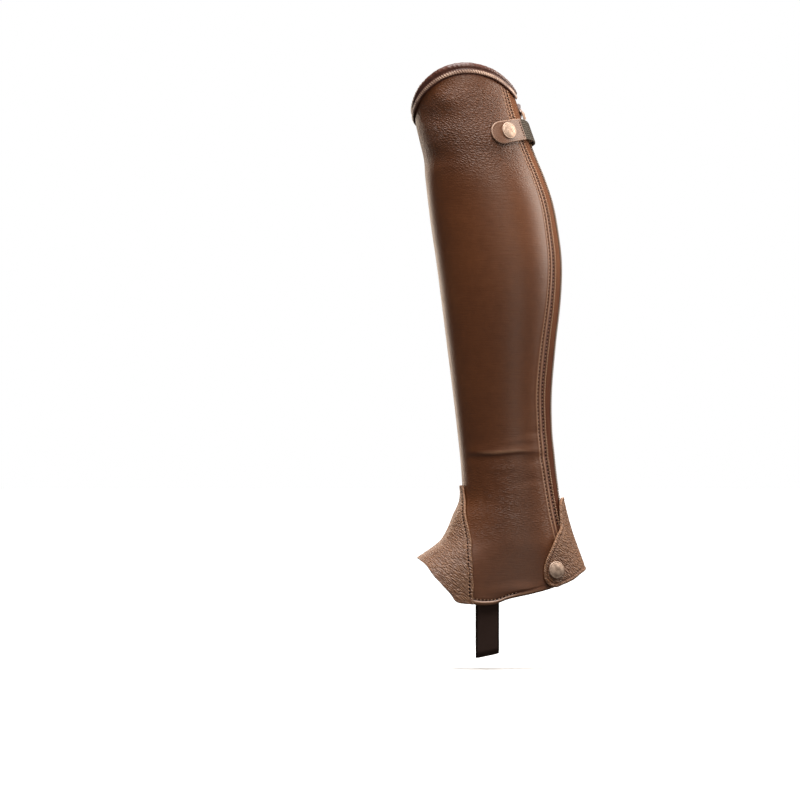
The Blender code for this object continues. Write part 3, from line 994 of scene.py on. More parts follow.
class Finish(Nodes):
    """A material of the half chap and the ways it is patterned."""

    def __init__(self, name, **constants):
        self.material = bpy.data.materials.new(name)
        self.material.use_nodes = True
        super().__init__(self.material.node_tree)
        self.shader = self.tree.nodes["Principled BSDF"]
        for socket, value in constants.items():
            self.shader.inputs[socket.replace("_", " ")].default_value = value
        self.place = self.add("ShaderNodeTexCoord", output="Object")

    def set(self, socket, value):
        self.tree.links.new(value.socket, self.shader.inputs[socket])

    def stretched(self, vector, sizes, turn=(0.0, 0.0, 0.0)):
        """A vector in which a pattern is so many times as large along each turned axis."""
        inputs = {"Vector": vector, "Rotation": tuple(np.radians(turn)), "Scale": sizes}
        return self.add("ShaderNodeMapping", {"vector_type": "TEXTURE"}, inputs)

    def cloth(self):
        """The mm across the cloth, the mm along it and the mm from its rim."""
        return self.add("ShaderNodeAttribute", {"attribute_name": "cloth"}, output="Vector")

    def noise(self, scale, detail=2.0, rough=0.5, vector=None):
        vector = vector or self.place
        inputs = {"Vector": vector, "Scale": scale, "Detail": detail, "Roughness": rough}
        return self.add("ShaderNodeTexNoise", inputs=inputs)

    def pebbles(self, size, vector=None):
        """Rounded grains of a size in mm, 1 on their crowns and 0 in the creases between them."""
        vector = vector or self.place
        scale = 1000 / size
        drift = self.add(
            "ShaderNodeTexNoise", inputs={"Vector": vector, "Scale": scale * 0.9}, output="Color"
        )
        moved = self.add(
            "ShaderNodeVectorMath",
            {"operation": "MULTIPLY_ADD"},
            {0: drift, 1: (GRAIN_WANDER / scale,) * 3, 2: vector},
        )
        edge = self.add(
            "ShaderNodeTexVoronoi",
            {"feature": "DISTANCE_TO_EDGE"},
            {"Vector": moved, "Scale": scale},
        )
        return edge.within(0.0, GRAIN_CROWN)

    def blend(self, factor, first, second):
        settings = {"data_type": "RGBA", "blend_type": "MIX"}
        return self.add("ShaderNodeMix", settings, {0: factor, 6: first, 7: second}, output=2)

    def dress(self, tone, roughness, height=None, depth=0.0):
        """Colour the surface, bump it by a height from 0 to 1 times a depth in mm, and return the
        material."""
        self.set("Base Color", tone)
        self.set("Roughness", roughness)
        if height:
            inputs = {"Height": height, "Distance": depth * MM, "Strength": 1.0}
            self.set("Normal", self.add("ShaderNodeBump", inputs=inputs))
        return self.material


def colour(red, green, blue):
    """A linear colour from its places on a 0 to 255 screen scale."""
    share = np.array((red, green, blue)) / 255
    linear = np.where(share <= 0.04045, share / 12.92, ((share + 0.055) / 1.055) ** 2.4)
    return (*(float(value) for value in linear), 1.0)


def darker(tone, share):
    return (*(share * value for value in tone[:3]), 1.0)


# The warm tint of the waxed leather's reflections
GLOSS_TINT = (1.0, 0.97, 0.94, 1.0)


def make_skin(name, dark, light, rim, roughness, pattern, depth, edge=0.5, tint=0.6):
    """Full-grain leather: pattern(finish) gives its grain, 1 on the crowns, and how strong it is.
    Painted highlight makes it paler on its ridges, and painted shade makes it darker in its troughs
    and in its grain's creases; it is paler along its rim and suede inside."""
    finish = Finish(name, Specular_IOR_Level=0.9, Specular_Tint=GLOSS_TINT)
    _, _, from_rim = finish.parts(finish.cloth())
    lift = finish.add("ShaderNodeAttribute", {"attribute_name": "lift"}, output="Fac")
    grain, strength = pattern(finish)
    cloud = finish.noise(14.0, 3.0, 0.55)
    mottle = finish.noise(150.0, 3.0, 0.6)
    pores = finish.noise(2600.0, 2.0, 0.6)
    skin = finish.blend(cloud.within(0.3, 0.7) * 0.6 + mottle.within(0.25, 0.75) * 0.4, dark, light)
    crease = (1 - grain) * strength
    # Painted shade: the grain's creases are darkened, by the share tint
    skin = finish.blend(crease * tint, skin, darker(dark, 0.3))
    # Painted highlight: ridges of the relief, read from the lift attribute, are lightened towards
    # the rim colour
    skin = finish.blend(lift.within(0.12, 0.4) * (0.3 + 0.45 * mottle), skin, rim)
    # Painted shade: dips and grooves of the relief are darkened to a deep red brown
    dip = lift.within(-0.08, -0.5)
    skin = finish.blend(dip * 0.5, skin, colour(100, 44, 24))
    worn = from_rim.within(0.9, 0.1) * from_rim.within(-0.1, 0.0)
    skin = finish.blend(worn * edge, skin, rim)
    inside = from_rim.within(-0.05, -0.6)
    nap = finish.noise(900.0, 4.0, 0.7)
    suede = finish.blend(nap, colour(84, 56, 38), colour(112, 78, 55))
    skin = finish.blend(inside, skin, suede)
    roughness = roughness + mottle * 0.1 + crease * 0.1 + dip * 0.15 + inside * 0.35
    return finish.dress(skin, roughness, grain * strength + pores * 0.05 + mottle * 0.1, depth)


def shaft_grain(finish):
    """Pebbles at the knee, wrinkles across the ankle and faint lines across the shaft between."""
    _, _, height = finish.parts(finish.place)
    _, _, from_rim = finish.parts(finish.cloth())
    knee = height.within(*KNEE_RISE) * (0.6 + 0.4 * from_rim.within(6.0, 26.0))
    ankle = height.within(*ANKLE_FALL) * height.within(*ANKLE_RISE)
    patch = finish.noise(26.0, 2.0, 0.5).within(0.3, 0.62)
    slack = finish.stretched(finish.place, (1.5, 1.2, 0.8), (0, 20, 0))
    pebbles = finish.pebbles(2.5, slack) * 0.72 + finish.pebbles(1.4, slack) * 0.28
    wrinkled = finish.stretched(finish.place, (3.4, 3.4, 0.7), (0, -5, 0))
    wrinkles = finish.pebbles(1.5, wrinkled)
    lined = finish.stretched(finish.place, (12.0, 12.0, 1.2))
    lines = finish.noise(1000.0, 3.0, 0.6, lined)
    grain = pebbles * knee + wrinkles * ankle + lines * (1 - knee - ankle)
    strength = knee * (1.05 + 0.5 * patch) + ankle * (0.13 + 0.13 * patch)
    return grain, strength + (1 - knee - ankle) * 0.3


def slanted_grain(finish):
    """Coarse grains drawn out along slanting lines."""
    drawn = finish.stretched(finish.place, (3.6, 2.2, 0.9), GRAIN_LEAN)
    coarse = finish.pebbles(1.8, drawn)
    lined = finish.stretched(finish.place, (6.0, 3.0, 0.8), GRAIN_LEAN)
    lines = finish.noise(1000 / 1.6, 2.0, 0.5, lined).within(0.35, 0.6)
    fine = finish.pebbles(1.0)
    return coarse * 0.6 + lines * 0.3 + fine * 0.1, 0.75 + 0.3 * finish.noise(60.0)


def smooth_grain(finish):
    return finish.pebbles(1.3), 0.16 + 0.1 * finish.noise(60.0)


def make_binding(name, dark, light, ridge):
    """Smooth binding leather, lighter over its stitched ridge, partly from its whip marks and
    partly as a painted highlight. The cloth attribute holds the mm along the top edge and the
    height from it."""
    finish = Finish(name, Specular_IOR_Level=0.8)
    along, rise, _ = finish.parts(finish.cloth())
    mottle = finish.noise(220.0, 3.0, 0.6)
    pores = finish.noise(2400.0, 2.0, 0.6)
    grain = finish.pebbles(1.1)
    skin = finish.blend(mottle.within(0.3, 0.7), dark, light)
    # The stitched ridge is lightened: whip marks, plus a painted highlight where the ridge catches
    # the light
    whip_and_highlight = rise.within(-6.0, -5.0) * rise.within(-2.4, -3.4)
    turn = along * (2 * np.pi / WHIP_PITCH) + rise * (2 * np.pi * WHIP_SLANT)
    marks = turn.sine().within(-0.3, 0.9)
    whip_and_highlight = whip_and_highlight * (0.34 + 0.66 * marks) * (0.5 + 0.5 * finish.noise(40.0).within(0.4, 0.6))
    height = grain * 0.2 + pores * 0.1 + mottle * 0.1
    return finish.dress(finish.blend(whip_and_highlight, skin, ridge), 0.36 + mottle * 0.12, height, 0.16)


def make_stretch(name):
    """The stretch band: a brushed rust brown knit with faint lengthwise ribs."""
    finish = Finish(name, Specular_IOR_Level=0.15)
    across, along, _ = finish.parts(finish.cloth())
    ribs = (across * BAND_RIBS).wave()
    loops = (along * 7.0 + (across * BAND_RIBS).sine() * 1.2).wave()
    streak = finish.noise(1.0, 3.0, 0.5, finish.stretched(finish.cloth(), (3.0, 22.0, 5.0)))
    nap = finish.noise(1500.0, 3.0, 0.65)
    tone = streak.within(0.2, 0.8) * 0.5 + nap * 0.3 + ribs * 0.2
    _, _, height = finish.parts(finish.place)
    # Painted light: the band is lighter towards its top and darker below, as the light falls off
    # down it
    upper = finish.blend(tone, colour(106, 60, 37), colour(155, 106, 74))
    lower = finish.blend(tone, colour(76, 37, 21), colour(118, 70, 44))
    base = finish.blend(height.within(-0.16, 0.02), lower, upper)
    base = finish.blend((1 - ribs) * 0.4, base, colour(84, 42, 30))
    return finish.dress(base, 0.72 + nap * 0.2, ribs * 0.6 + loops * 0.35 + nap * 0.4, 0.16)


def make_weave(name, dark, light, pitch, roughness, depth=0.1, selvedge=0.0, turned=False):
    """A close woven tape: ribs along it, crossed by finer picks."""
    finish = Finish(name, Specular_IOR_Level=0.1)
    across, along, from_rim = finish.parts(finish.cloth())
    if turned:
        across, along = along, across
    ribs = (across * (2 * np.pi / pitch)).wave()
    picks = (along * (2 * np.pi / (pitch * 0.7)) + ribs * 3.1).wave()
    fuzz = finish.noise(1800.0, 3.0, 0.6)
    tone = ribs * 0.55 + picks * 0.2 + fuzz * 0.25
    base = finish.blend(tone, dark, light)
    if selvedge:
        edge = from_rim.within(selvedge + 0.2, selvedge - 0.2)
        base = finish.blend(edge * 0.7, base, darker(dark, 0.4))
    height = ribs * 0.5 + picks * 0.35 + fuzz * 0.3
    return finish.dress(base, roughness + fuzz * 0.15, height, depth)


def make_brass(name):
    """Antique brass: a rubbed, pinkish copper tone, darker in blotches and fine scratches."""
    finish = Finish(name, Metallic=0.6)
    blotch = finish.noise(420.0, 4.0, 0.65)
    fleck = finish.noise(2400.0, 3.0, 0.6)
    drawn = finish.stretched(finish.place, (1.0, 0.2, 3.0), (20, 0, 30))
    scratch = finish.noise(900.0, 2.0, 0.5, drawn)
    tone = blotch.within(0.34, 0.66) * 0.65 + fleck * 0.2 + scratch * 0.15
    base = finish.blend(tone, colour(176, 146, 127), colour(230, 204, 184))
    roughness = 0.42 + blotch * 0.14 + scratch * 0.1
    return finish.dress(base, roughness, scratch * 0.4 + blotch * 0.6, 0.03)


def make_thread(name, dark, light):
    finish = Finish(name, Specular_IOR_Level=0.4, Sheen_Weight=0.2)
    fibres = finish.noise(3500.0, 3.0, 0.7)
    wear = finish.noise(60.0, 2.0, 0.5)
    base = finish.blend(fibres * 0.5 + wear * 0.5, dark, light)
    return finish.dress(base, 0.55 + fibres * 0.2, fibres, 0.03)


def make_nylon(name):
    """The zip's coil: a semi-gloss cream brown nylon."""
    finish = Finish(name, Specular_IOR_Level=0.5)
    wear = finish.noise(500.0, 2.0, 0.5)
    base = finish.blend(wear, colour(150, 112, 78), colour(196, 160, 120))
    return finish.dress(base, 0.3 + wear * 0.2, wear, 0.02)


# Painted shade: the dark colour of the holes' plugs stands in for the shade inside needle holes
def make_hole_shade(name):
    finish = Finish(name, Specular_IOR_Level=0.2)
    shade_speckle = finish.noise(1200.0)
    base = finish.blend(shade_speckle, colour(30, 14, 8), colour(44, 22, 13))
    return finish.dress(base, 0.8 + shade_speckle * 0.1)


leather_finish = make_skin(
    "leather", colour(98, 51, 17), colour(116, 64, 26), colour(188, 142, 110), 0.42,
    shaft_grain, 0.48, tint=0.3,
)
grained_finish = make_skin(
    "grained_leather", colour(124, 76, 44), colour(174, 122, 82), colour(206, 156, 120), 0.44,
    slanted_grain, 0.8, edge=0.45, tint=0.6,
)
tab_finish = make_skin(
    "tab_leather", colour(112, 74, 52), colour(128, 88, 66), colour(206, 170, 146), 0.4,
    smooth_grain, 0.2, edge=0.8,
)
binding_finish = make_binding(
    "binding_leather", colour(80, 44, 34), colour(98, 58, 46), colour(232, 196, 172)
)
stretch_finish = make_stretch("stretch")
tape_finish = make_weave("zip_tape", colour(44, 26, 18), colour(74, 48, 34), 0.8, 0.8)
elastic_finish = make_weave(
    "elastic", colour(36, 32, 29), colour(128, 118, 106), 2.0, 0.62, 0.2, turned=True
)
stirrup_finish = make_weave(
    "stirrup_elastic", colour(58, 44, 39), colour(92, 73, 66), 0.7, 0.8, selvedge=1.6
)
brass_finish = make_brass("antique_brass")
threads_finish = make_thread("thread", colour(176, 132, 100), colour(222, 182, 150))
# Painted shade: the same thread darkened for the rear seam's rows, which lie sunken in shade
shaded_thread_finish = make_thread("shaded_thread", colour(150, 104, 80), colour(196, 152, 124))
hole_shade_finish = make_hole_shade("needle_hole_shade")
coil_finish = make_nylon("zip_coil")


def row_height(angle, share):
    """The height of a row of the long panels, from the hem (0) to the top edge (1)."""
    row = share * ROW_COUNT
    low = hem_height(angle)
    height = low
    for rows, top in ROW_ZONES:
        high = top_height(angle) if top is None else top
        height = height + (high - low) * np.clip(row / rows, 0.0, 1.0)
        row = row - rows
        low = high
    return height


def rear_edge_place(share):
    """The angle and height of a row at the main panel's rear edge."""
    angle = np.full_like(share, REAR_EDGE[0][1])
    for _ in range(REAR_ROUNDS):
        height = row_height(angle, share)
        angle = smooth_value(REAR_EDGE, height, 1)
    return angle, height


def long_place(edges, base=0.0):
    """Places a long piece between two edges, with half a seam's gap left at both."""

    def place(s, t, out):
        start, end = edges(t)
        height = row_height(mix(start, end, s), t)
        start = start + gap_angle(start, height, SEAM_GAP / 2)
        end = end - gap_angle(end, height, SEAM_GAP / 2)
        return leg_point(mix(start, end, s), height, base + out)

    return place


def rear_edge_angle(share):
    return rear_edge_place(share)[0]


def panel_edges(t):
    start = np.full_like(t, ZIP_ANGLE + ZIP_HALF_ANGLE - 360)
    return start, rear_edge_angle(t)


def seam_relief(distance, height):
    """The double stitched seam: the far row between two rolled ridges, the near row in a sunken
    strip, and a lip at the edge."""
    from_far = distance - smooth_value(REAR_ROWS, height, 2)
    strip = soft_step(distance, *SEAM_STRIP_START) * soft_step(from_far, *SEAM_STRIP_END)
    return rolled(from_far, SEAM_ROLLS) + rolled(distance, SEAM_LIP) - SEAM_STRIP_DEPTH * strip


def hem_relief(distance, side):
    """The hem's turned edge: a rolled bead, thicker at the front corner, and a groove above it."""
    corner = bump_at(side, *HEM_CORNER)
    rolls = [
        [mix(plain, strong, corner) for plain, strong in zip(*pair)]
        for pair in zip(HEM_ROLLS, HEM_CORNER_ROLLS)
    ]
    return rolled(distance, rolls)


def panel_relief(sizes):
    """The panel's worked edges, the laps' crests, raised again so that the leather paints them
    lighter as a painted highlight, and the groove under the binding's foot, which it paints dark as
    painted shade.
    """
    start, end = panel_edges(sizes.t)
    angle = mix(start, end, sizes.s)
    height = row_height(angle, sizes.t)
    out = seam_relief(sizes.end, height) + rolled(sizes.start, ZIP_EDGE_ROLLS)
    # Painted highlight: the laps' crests are raised again in the lift, which the leather paints
    # lighter
    out = out + LAP_HIGHLIGHT_LIFT * lap_out(angle, height)
    return out + hem_relief(sizes.low, side_angle(angle)) + rolled(sizes.high, BINDING_GROOVE)


def long_rows():
    """The rows of a long panel, with finer ones at the hem's turned edge."""
    near_hem = np.array(NEAR_HEM) / PANEL_LENGTH
    return np.unique(np.concatenate((near_hem, np.linspace(0.0, 1.0, ROW_COUNT + 1))))


def band_edges(t):
    return rear_edge_angle(t), np.full_like(t, ZIP_ANGLE - ZIP_HALF_ANGLE)


def band_relief(sizes):
    """The band's soft swell and its ribs."""
    share = sizes.start / (sizes.start + sizes.end)
    return BAND_SWELL * np.sin(np.pi * share) + BAND_RIB_OUT * np.sin(sizes.start * BAND_RIBS)


def add_zip_tape(name, start, end):
    def edges(t):
        return np.full_like(t, start), np.full_like(t, end)

    return add_shell(
        name, shares(6, TAPE_WIDTH), long_rows(), long_place(edges, -TAPE_RECESS), TAPE_WALL,
        tape_finish, rim_round=TAPE_ROUND,
    )


def zip_line(offset, out):
    """Points and normals down the zip, at an offset towards the inner side."""
    height = np.linspace(TEETH_HEAD, TEETH_FOOT, 800)
    angle = ZIP_ANGLE + gap_angle(np.full_like(height, ZIP_ANGLE), height, offset)
    keep = height > hem_height(angle) + TEETH_CLEARANCE
    return leg_point(angle, height, out)[keep], leg_normal(angle, height)[keep]


def tooth_template():
    """One turn of the coil: a rounded loop that reaches over the zip's middle."""
    bm = bmesh.new()
    bmesh.ops.create_cube(bm, size=1.0)
    bmesh.ops.scale(bm, vec=TOOTH_SIZE, verts=bm.verts)
    round_edges(bm, bm.edges[:], 0.32, 2)
    for vert in bm.verts:
        vert.co.x *= 1 - TOOTH_TAPER * abs(vert.co.y) / (TOOTH_SIZE[1] / 2)
    bmesh.ops.triangulate(bm, faces=bm.faces)
    return bm


def add_zip_teeth(name, side):
    points, normals = zip_line(side * TEETH_ASIDE, TEETH_OUT)
    if side > 0:
        points, normals = points[3:], normals[3:]
    places, turns = along_path(points, normals, TOOTH_PITCH)
    return add_many(name, tooth_template(), places, turns, coil_finish)


def binding_point(angle, out, rise):
    """Points of the binding's section, square to the top edge and on the leg's surface."""
    height = top_height(angle)
    ahead = bare_leg(angle + STEP, top_height(angle + STEP))
    behind = bare_leg(angle - STEP, top_height(angle - STEP))
    up = np.cross(leg_normal(angle, height), unit(ahead - behind))
    level = unit(level_step(angle, height))
    turn = gap_angle(angle, height, 1.0) * np.sum(up * level, axis=-1) * rise
    return leg_point(angle + turn, height + up[..., 2] * rise, out)


def rounded_loop(points, rounds):
    """A closed loop with its corners cut, the cuts spread evenly."""
    for _ in range(rounds):
        ahead = np.roll(points, -1, axis=0)
        points = np.stack((0.75 * points + 0.25 * ahead, 0.25 * points + 0.75 * ahead), axis=1)
        points = points.reshape(-1, 2)
    return points


def add_top_binding():
    """The rolled binding over the top edge, from one side of the zip round to the other."""
    start = ZIP_ANGLE + BINDING_STOP - 360
    end = ZIP_ANGLE - BINDING_STOP
    section = rounded_loop(np.array(BINDING_SECTION), 2)
    corners = len(section)
    bm = bmesh.new()
    bmesh.ops.create_grid(bm, x_segments=BINDING_STATIONS, y_segments=corners, size=0.5)
    found = np.array([vert.co for vert in bm.verts])
    angle = mix(start, end, found[:, 0] + 0.5)
    index = np.rint((found[:, 1] + 0.5) * corners).astype(int) % corners
    out, rise = section[index].T
    steps = np.linspace(start, end, 300)
    ridge_line = binding_point(steps, 2.0, WHIP_HEIGHT)
    run = np.interp(angle, steps, running_length(ridge_line[:, None], 0)[:, 0])
    outside = soft_step(out, 0.8, 1.6)
    ridge = outside * bump_at(rise, WHIP_HEIGHT, 1.5)
    bead = soft_step(rise, -1.0, 1.0)
    turn = run / WHIP_PITCH + rise * WHIP_SLANT + 0.12 * np.sin(run * 0.37)
    whip = np.sin(2 * np.pi * turn)
    puckers = np.sin(run * 1.7 + 2.0 * np.sin(run * 0.23) + rise * 0.5)
    out = out + ridge * (WHIP_OUT * whip + RIDGE_OUT) + PUCKER_OUT * bead * puckers
    rise = rise + PUCKER_OUT * bead * np.sin(run * 0.9 + 1.3 * np.sin(run * 0.31))
    points = binding_point(angle, out, rise) * MM
    layer = bm.verts.layers.float_vector.new("cloth")
    for vert, point, along, height in zip(bm.verts, points, run, section[index, 1]):
        vert.co = point
        vert[layer] = (along, height, 5.0)
    bmesh.ops.remove_doubles(bm, verts=bm.verts, dist=MERGE * MM)
    fill_open_ends(bm, corners)
    return finish_mesh("top_binding_roll", bm, binding_finish)


def gusset_place(s, t, out):
    across = 2 * s - 1
    top = GUSSET_EDGE[0][0]
    height = np.full_like(s, top)
    for _ in range(GUSSET_ROUNDS):
        side = mix(SHIN, smooth_value(GUSSET_EDGE, height, 1), np.abs(across))
        height = mix(smooth_value(GUSSET_HEM, side, 1), top, t)
    angle = np.where(across > 0, side, -180 - side)
    return leg_point(angle, height, GUSSET_OUT + GUSSET_WALL + out)


def gusset_relief(edge, height):
    """A dip along the stitch row, a low ridge outside it and a fuller one inside it."""
    return rolled(edge - smooth_value(GUSSET_ROW, height, 1), GUSSET_ROLLS)


def instep_relief(sizes):
    height = gusset_place(sizes.s, sizes.t, 0.0)[..., 2]
    return gusset_relief(np.minimum(sizes.start, sizes.end), height)


def landing_out(angle, landing, out):
    """How far out a strap or tab lies as it comes down to the leather on the inner side."""
    return mix(out, LAYER_GAP, soft_step(angle, *landing))


def heel_tab_place(s, t, out):
    start, end = HEEL_TAB[0][0], HEEL_TAB[-1][0]
    angle = mix(start, end, s * mix(HEEL_TAB_SPREAD, 1.0, s))
    upper, lower = smooth_values(HEEL_TAB, angle, 1, 2)
    inside = landing_out(angle, HEEL_TAB_LANDING, HEEL_TAB_OUT)
    return leg_point(angle, mix(lower, upper, t), inside + HEEL_TAB_WALL + out)


def heel_tab_relief(sizes):
    return rolled(sizes.rim, HEEL_TAB_ROLLS)


def strap_place(angle, across, out):
    """Points of the top strap, from its lower edge (0) to its upper edge (1)."""
    middle, half = smooth_values(TOP_STRAP, angle, 1, 2)
    return leg_point(angle, middle + half * (2 * across - 1), out)


def top_tab_place(s, t, out):
    """Points of the top tab. The first share of its length is its round end."""
    turned = np.radians(90 * np.minimum(s / TOP_TAB_ROUND, 1.0))
    straight = np.maximum((s - TOP_TAB_ROUND) / (1 - TOP_TAB_ROUND), 0.0)
    angle = TOP_TAB_START + TOP_TAB_TIP * (1 - np.cos(turned))
    angle = mix(angle, TOP_TAB_END, straight)
    across = 0.5 + (t - 0.5) * np.sin(turned)
    return strap_place(angle, across, TOP_TAB_OUT + TOP_TAB_WALL + out)


def top_tab_relief(sizes):
    return rolled(sizes.rim, TOP_TAB_RIM_ROLLS) + rolled(sizes.end, TOP_TAB_END_ROLLS)


def top_strap_place(s, t, out):
    height = smooth_value(TOP_STRAP, TOP_TAB_END, 1)
    start = TOP_TAB_END + gap_angle(np.array(TOP_TAB_END), height, SEAM_GAP)
    angle = mix(start, TOP_STRAP_END, s)
    inside = landing_out(angle, TOP_STRAP_LANDING, TOP_STRAP_OUT)
    return strap_place(angle, t, inside + ELASTIC_WALL + out)


def top_strap_relief(sizes):
    """The cords of the woven elastic."""
    rib = 0.5 + 0.5 * np.cos(2 * np.pi * sizes.low / TOP_STRAP_RIB)
    return TOP_STRAP_RIB_OUT * rib * soft_step(sizes.rim, 0.2, 1.0) + TOP_STRAP_SUNK


def panel_inside(x, height):
    """The y of the main panel's inner face on the outer side, at an x and a height."""
    front, back = smooth_values(LEG, height, 1, 2)
    angle = np.degrees(np.arcsin((2 * x - front - back) / (back - front)))
    return leg_point(angle, height, -PANEL_WALL - LAYER_GAP)[..., 1]


def stirrup_place(s, t, out):
    """The strap from hem to hem under the sole: down, round a bend, across and up again."""
    bend_start = STIRRUP_FOOT + STIRRUP_BEND
    bend, sole = STIRRUP_BEND_START, STIRRUP_BEND_END
    side = np.where(s < 0.5, 1.0, -1.0)
    share = np.minimum(s, 1 - s) * 2
    drop = np.clip(share / bend, 0, 1)
    turned = np.radians(90 * np.clip((share - bend) / (sole - bend), 0, 1))
    flat = np.clip((share - sole) / (1 - sole), 0, 1)
    x = STIRRUP_FRONT + STIRRUP_WIDTH * t
    z = mix(STIRRUP_TOP, bend_start, drop)
    y = mix(panel_inside(x, z), -STIRRUP_FOOT_Y, drop)
    radius = STIRRUP_BEND + out
    y_bend = -STIRRUP_FOOT_Y + STIRRUP_BEND - radius * np.cos(turned)
    z_bend = bend_start - radius * np.sin(turned)
    bent = share > bend
    y = np.where(bent, y_bend, y - out)
    z = np.where(bent, z_bend, z)
    y = mix(y, 0.0, flat)
    low = np.clip((STIRRUP_TOP - z) / (STIRRUP_TOP - bend_start), 0, 1)
    slope = np.tan(np.radians(STIRRUP_TILT))
    lift = (x - STIRRUP_FRONT - STIRRUP_WIDTH / 2) * slope * low ** 3
    return np.stack((x, y * side, z + lift), axis=-1)


def stirrup_relief(sizes):
    """Fine ribs between two thin selvedges."""
    selvedge = 1 - soft_step(np.minimum(sizes.low, sizes.high), 1.2, 2.0)
    ribs = np.sin(2 * np.pi * sizes.low / STIRRUP_RIB)
    return STIRRUP_RIB_OUT * ribs + SELVEDGE_SUNK * selvedge


def surface_frame(angle, height, out):
    """A placing with its Z out of the leg's surface and its X level, in mm."""
    angle = np.array(float(angle))
    height = np.array(float(height))
    normal = Vector(leg_normal(angle, height))
    level = Vector((0, 0, 1)).cross(normal).normalized()
    turn = Matrix((level, normal.cross(level), normal)).transposed().to_4x4()
    return Matrix.Translation(Vector(leg_point(angle, height, out))) @ turn


def add_brass(name, bm, place, out):
    """Move a brass piece made in mm to its angle and height on the leg, and finish it."""
    matrix = Matrix.Scale(MM, 4) @ surface_frame(*place, out)
    bmesh.ops.transform(bm, matrix=matrix, verts=bm.verts)
    return finish_mesh(name, bm, brass_finish)


def rounded_profile(profile):
    """A profile read at more places on a smooth curve through it."""
    points = np.array(profile)
    run = np.concatenate(([0.0], np.cumsum(length_of(np.diff(points, axis=0)))))
    at = np.linspace(0.0, run[-1], 40)
    radius, height = (
        smooth_value(np.stack((run, points[:, axis]), axis=-1), at, 1) for axis in (0, 1)
    )
    radius[0] = 0.0
    return list(zip(radius, height))


def add_cap(name, place, out):
    """A press stud's domed cap, spun from its profile."""
    bm = bmesh.new()
    profile = rounded_profile(CAP_PROFILE)
    verts = [bm.verts.new((radius, 0, height)) for radius, height in profile]
    edges = [bm.edges.new(pair) for pair in zip(verts, verts[1:])]
    bmesh.ops.spin(
        bm, geom=verts + edges, cent=(0, 0, 0), axis=(0, 0, 1), angle=2 * np.pi,
        steps=CAP_SIDES, use_merge=True, use_duplicate=False,
    )
    bmesh.ops.remove_doubles(bm, verts=bm.verts, dist=MERGE)
    fill_open_ends(bm, CAP_SIDES)
    for vert in bm.verts:
        dent = np.sin(vert.co.x * 0.9 + 0.4) * np.sin(vert.co.y * 0.8 - 0.3)
        vert.co.z += CAP_DENT * dent * soft_step(vert.co.z, 1.2, 2.2)
    return add_brass(name, bm, place, out)


def add_slider():
    """The zip's slider: a waisted plate with a bridge over it."""
    _, width, length = SLIDER_SIZE
    bm = bmesh.new()
    bmesh.ops.create_grid(bm, x_segments=8, y_segments=10, size=0.5)
    bmesh.ops.scale(bm, vec=(width, length, 1.0), verts=bm.verts)
    for vert in bm.verts:
        share = vert.co.y / length + 0.5
        vert.co.x *= mix(SLIDER_WAIST, 1.0, soft_step(share, 0.3, 0.9))
    for vert in thicken(bm, PLATE_DEPTH):
        vert.co.z -= 0.06 * abs(vert.co.x)
    bm.normal_update()
    round_edges(bm, rim_edges(bm), 0.45, 3)
    bridge = bmesh.ops.create_cube(bm, size=1.0)["verts"]
    bmesh.ops.scale(bm, vec=BRIDGE_SIZE, verts=bridge)
    bmesh.ops.translate(bm, vec=BRIDGE_PLACE, verts=bridge)
    round_edges(bm, list({edge for vert in bridge for edge in vert.link_edges}), 0.4, 3)
    return add_brass("zip_slider_body", bm, (ZIP_ANGLE, SLIDER_HEIGHT), SLIDER_OUT)


def add_pull():
    """The pull, a flat drop with a raised rim round a shallow dip."""
    depth, width, length = PULL_SIZE
    bm = bmesh.new()
    bmesh.ops.create_circle(bm, cap_ends=False, segments=40, radius=1.0)
    for vert in bm.verts:
        broad = mix(PULL_FOOT, PULL_HEAD, soft_step(vert.co.y, -0.6, 0.9))
        square = max(abs(vert.co.x), abs(vert.co.y)) ** 0.25
        vert.co.x *= width * broad * (2 - square)
        vert.co.y *= length * 0.5
        vert.co.x = max(min(vert.co.x, width / 2), -width / 2)
    bmesh.ops.holes_fill(bm, edges=bm.edges[:], sides=0)
    thicken(bm, depth)
    face = max(bm.faces, key=lambda item: item.calc_center_median().z * item.calc_area())
    bmesh.ops.inset_region(bm, faces=[face], thickness=PULL_RIM, depth=PULL_DIP)
    round_edges(bm, rim_edges(bm), 0.22, 2)
    return add_brass("zip_pull_tab", bm, (ZIP_ANGLE, PULL_HEIGHT), SLIDER_OUT)


def rear_row(column):
    """Points and normals down a row beside the main panel's rear edge, or down its lip."""

    def distance(height):
        return smooth_value(REAR_ROWS, height, column) if column else np.full_like(height, LIP_ROW)

    points, normals = row_beside(
        long_place(panel_edges), np.linspace(1.0, 0.95, 60), np.linspace(1.0, 0.0, 700), distance,
        seam_relief,
    )
    height = points[:, 2]
    keep = (height > REAR_ROWS_FOOT) & (height < height[0] - BINDING_LEG - 1.0)
    return points[keep], normals[keep]


def add_rear_stitches():
    """The far row, the near row and the rolled thread that runs over the edge."""
    made = []
    # The rear rows take the thread darkened as painted shade
    for name, column, hole in (("rear_row_stitches", 2, 1.7), ("rear_edge_stitches", 1, 1.8)):
        made += add_stitches(
            name, *rear_row(column), ROW_PITCH, share=0.5, radius=0.42, hole=hole,
            finish=shaded_thread_finish,
        )
    return made + add_stitches(
        "rear_edge_cord", *rear_row(None), 2.3, share=1.05, radius=0.5, hole=None, slant=26.0
    )


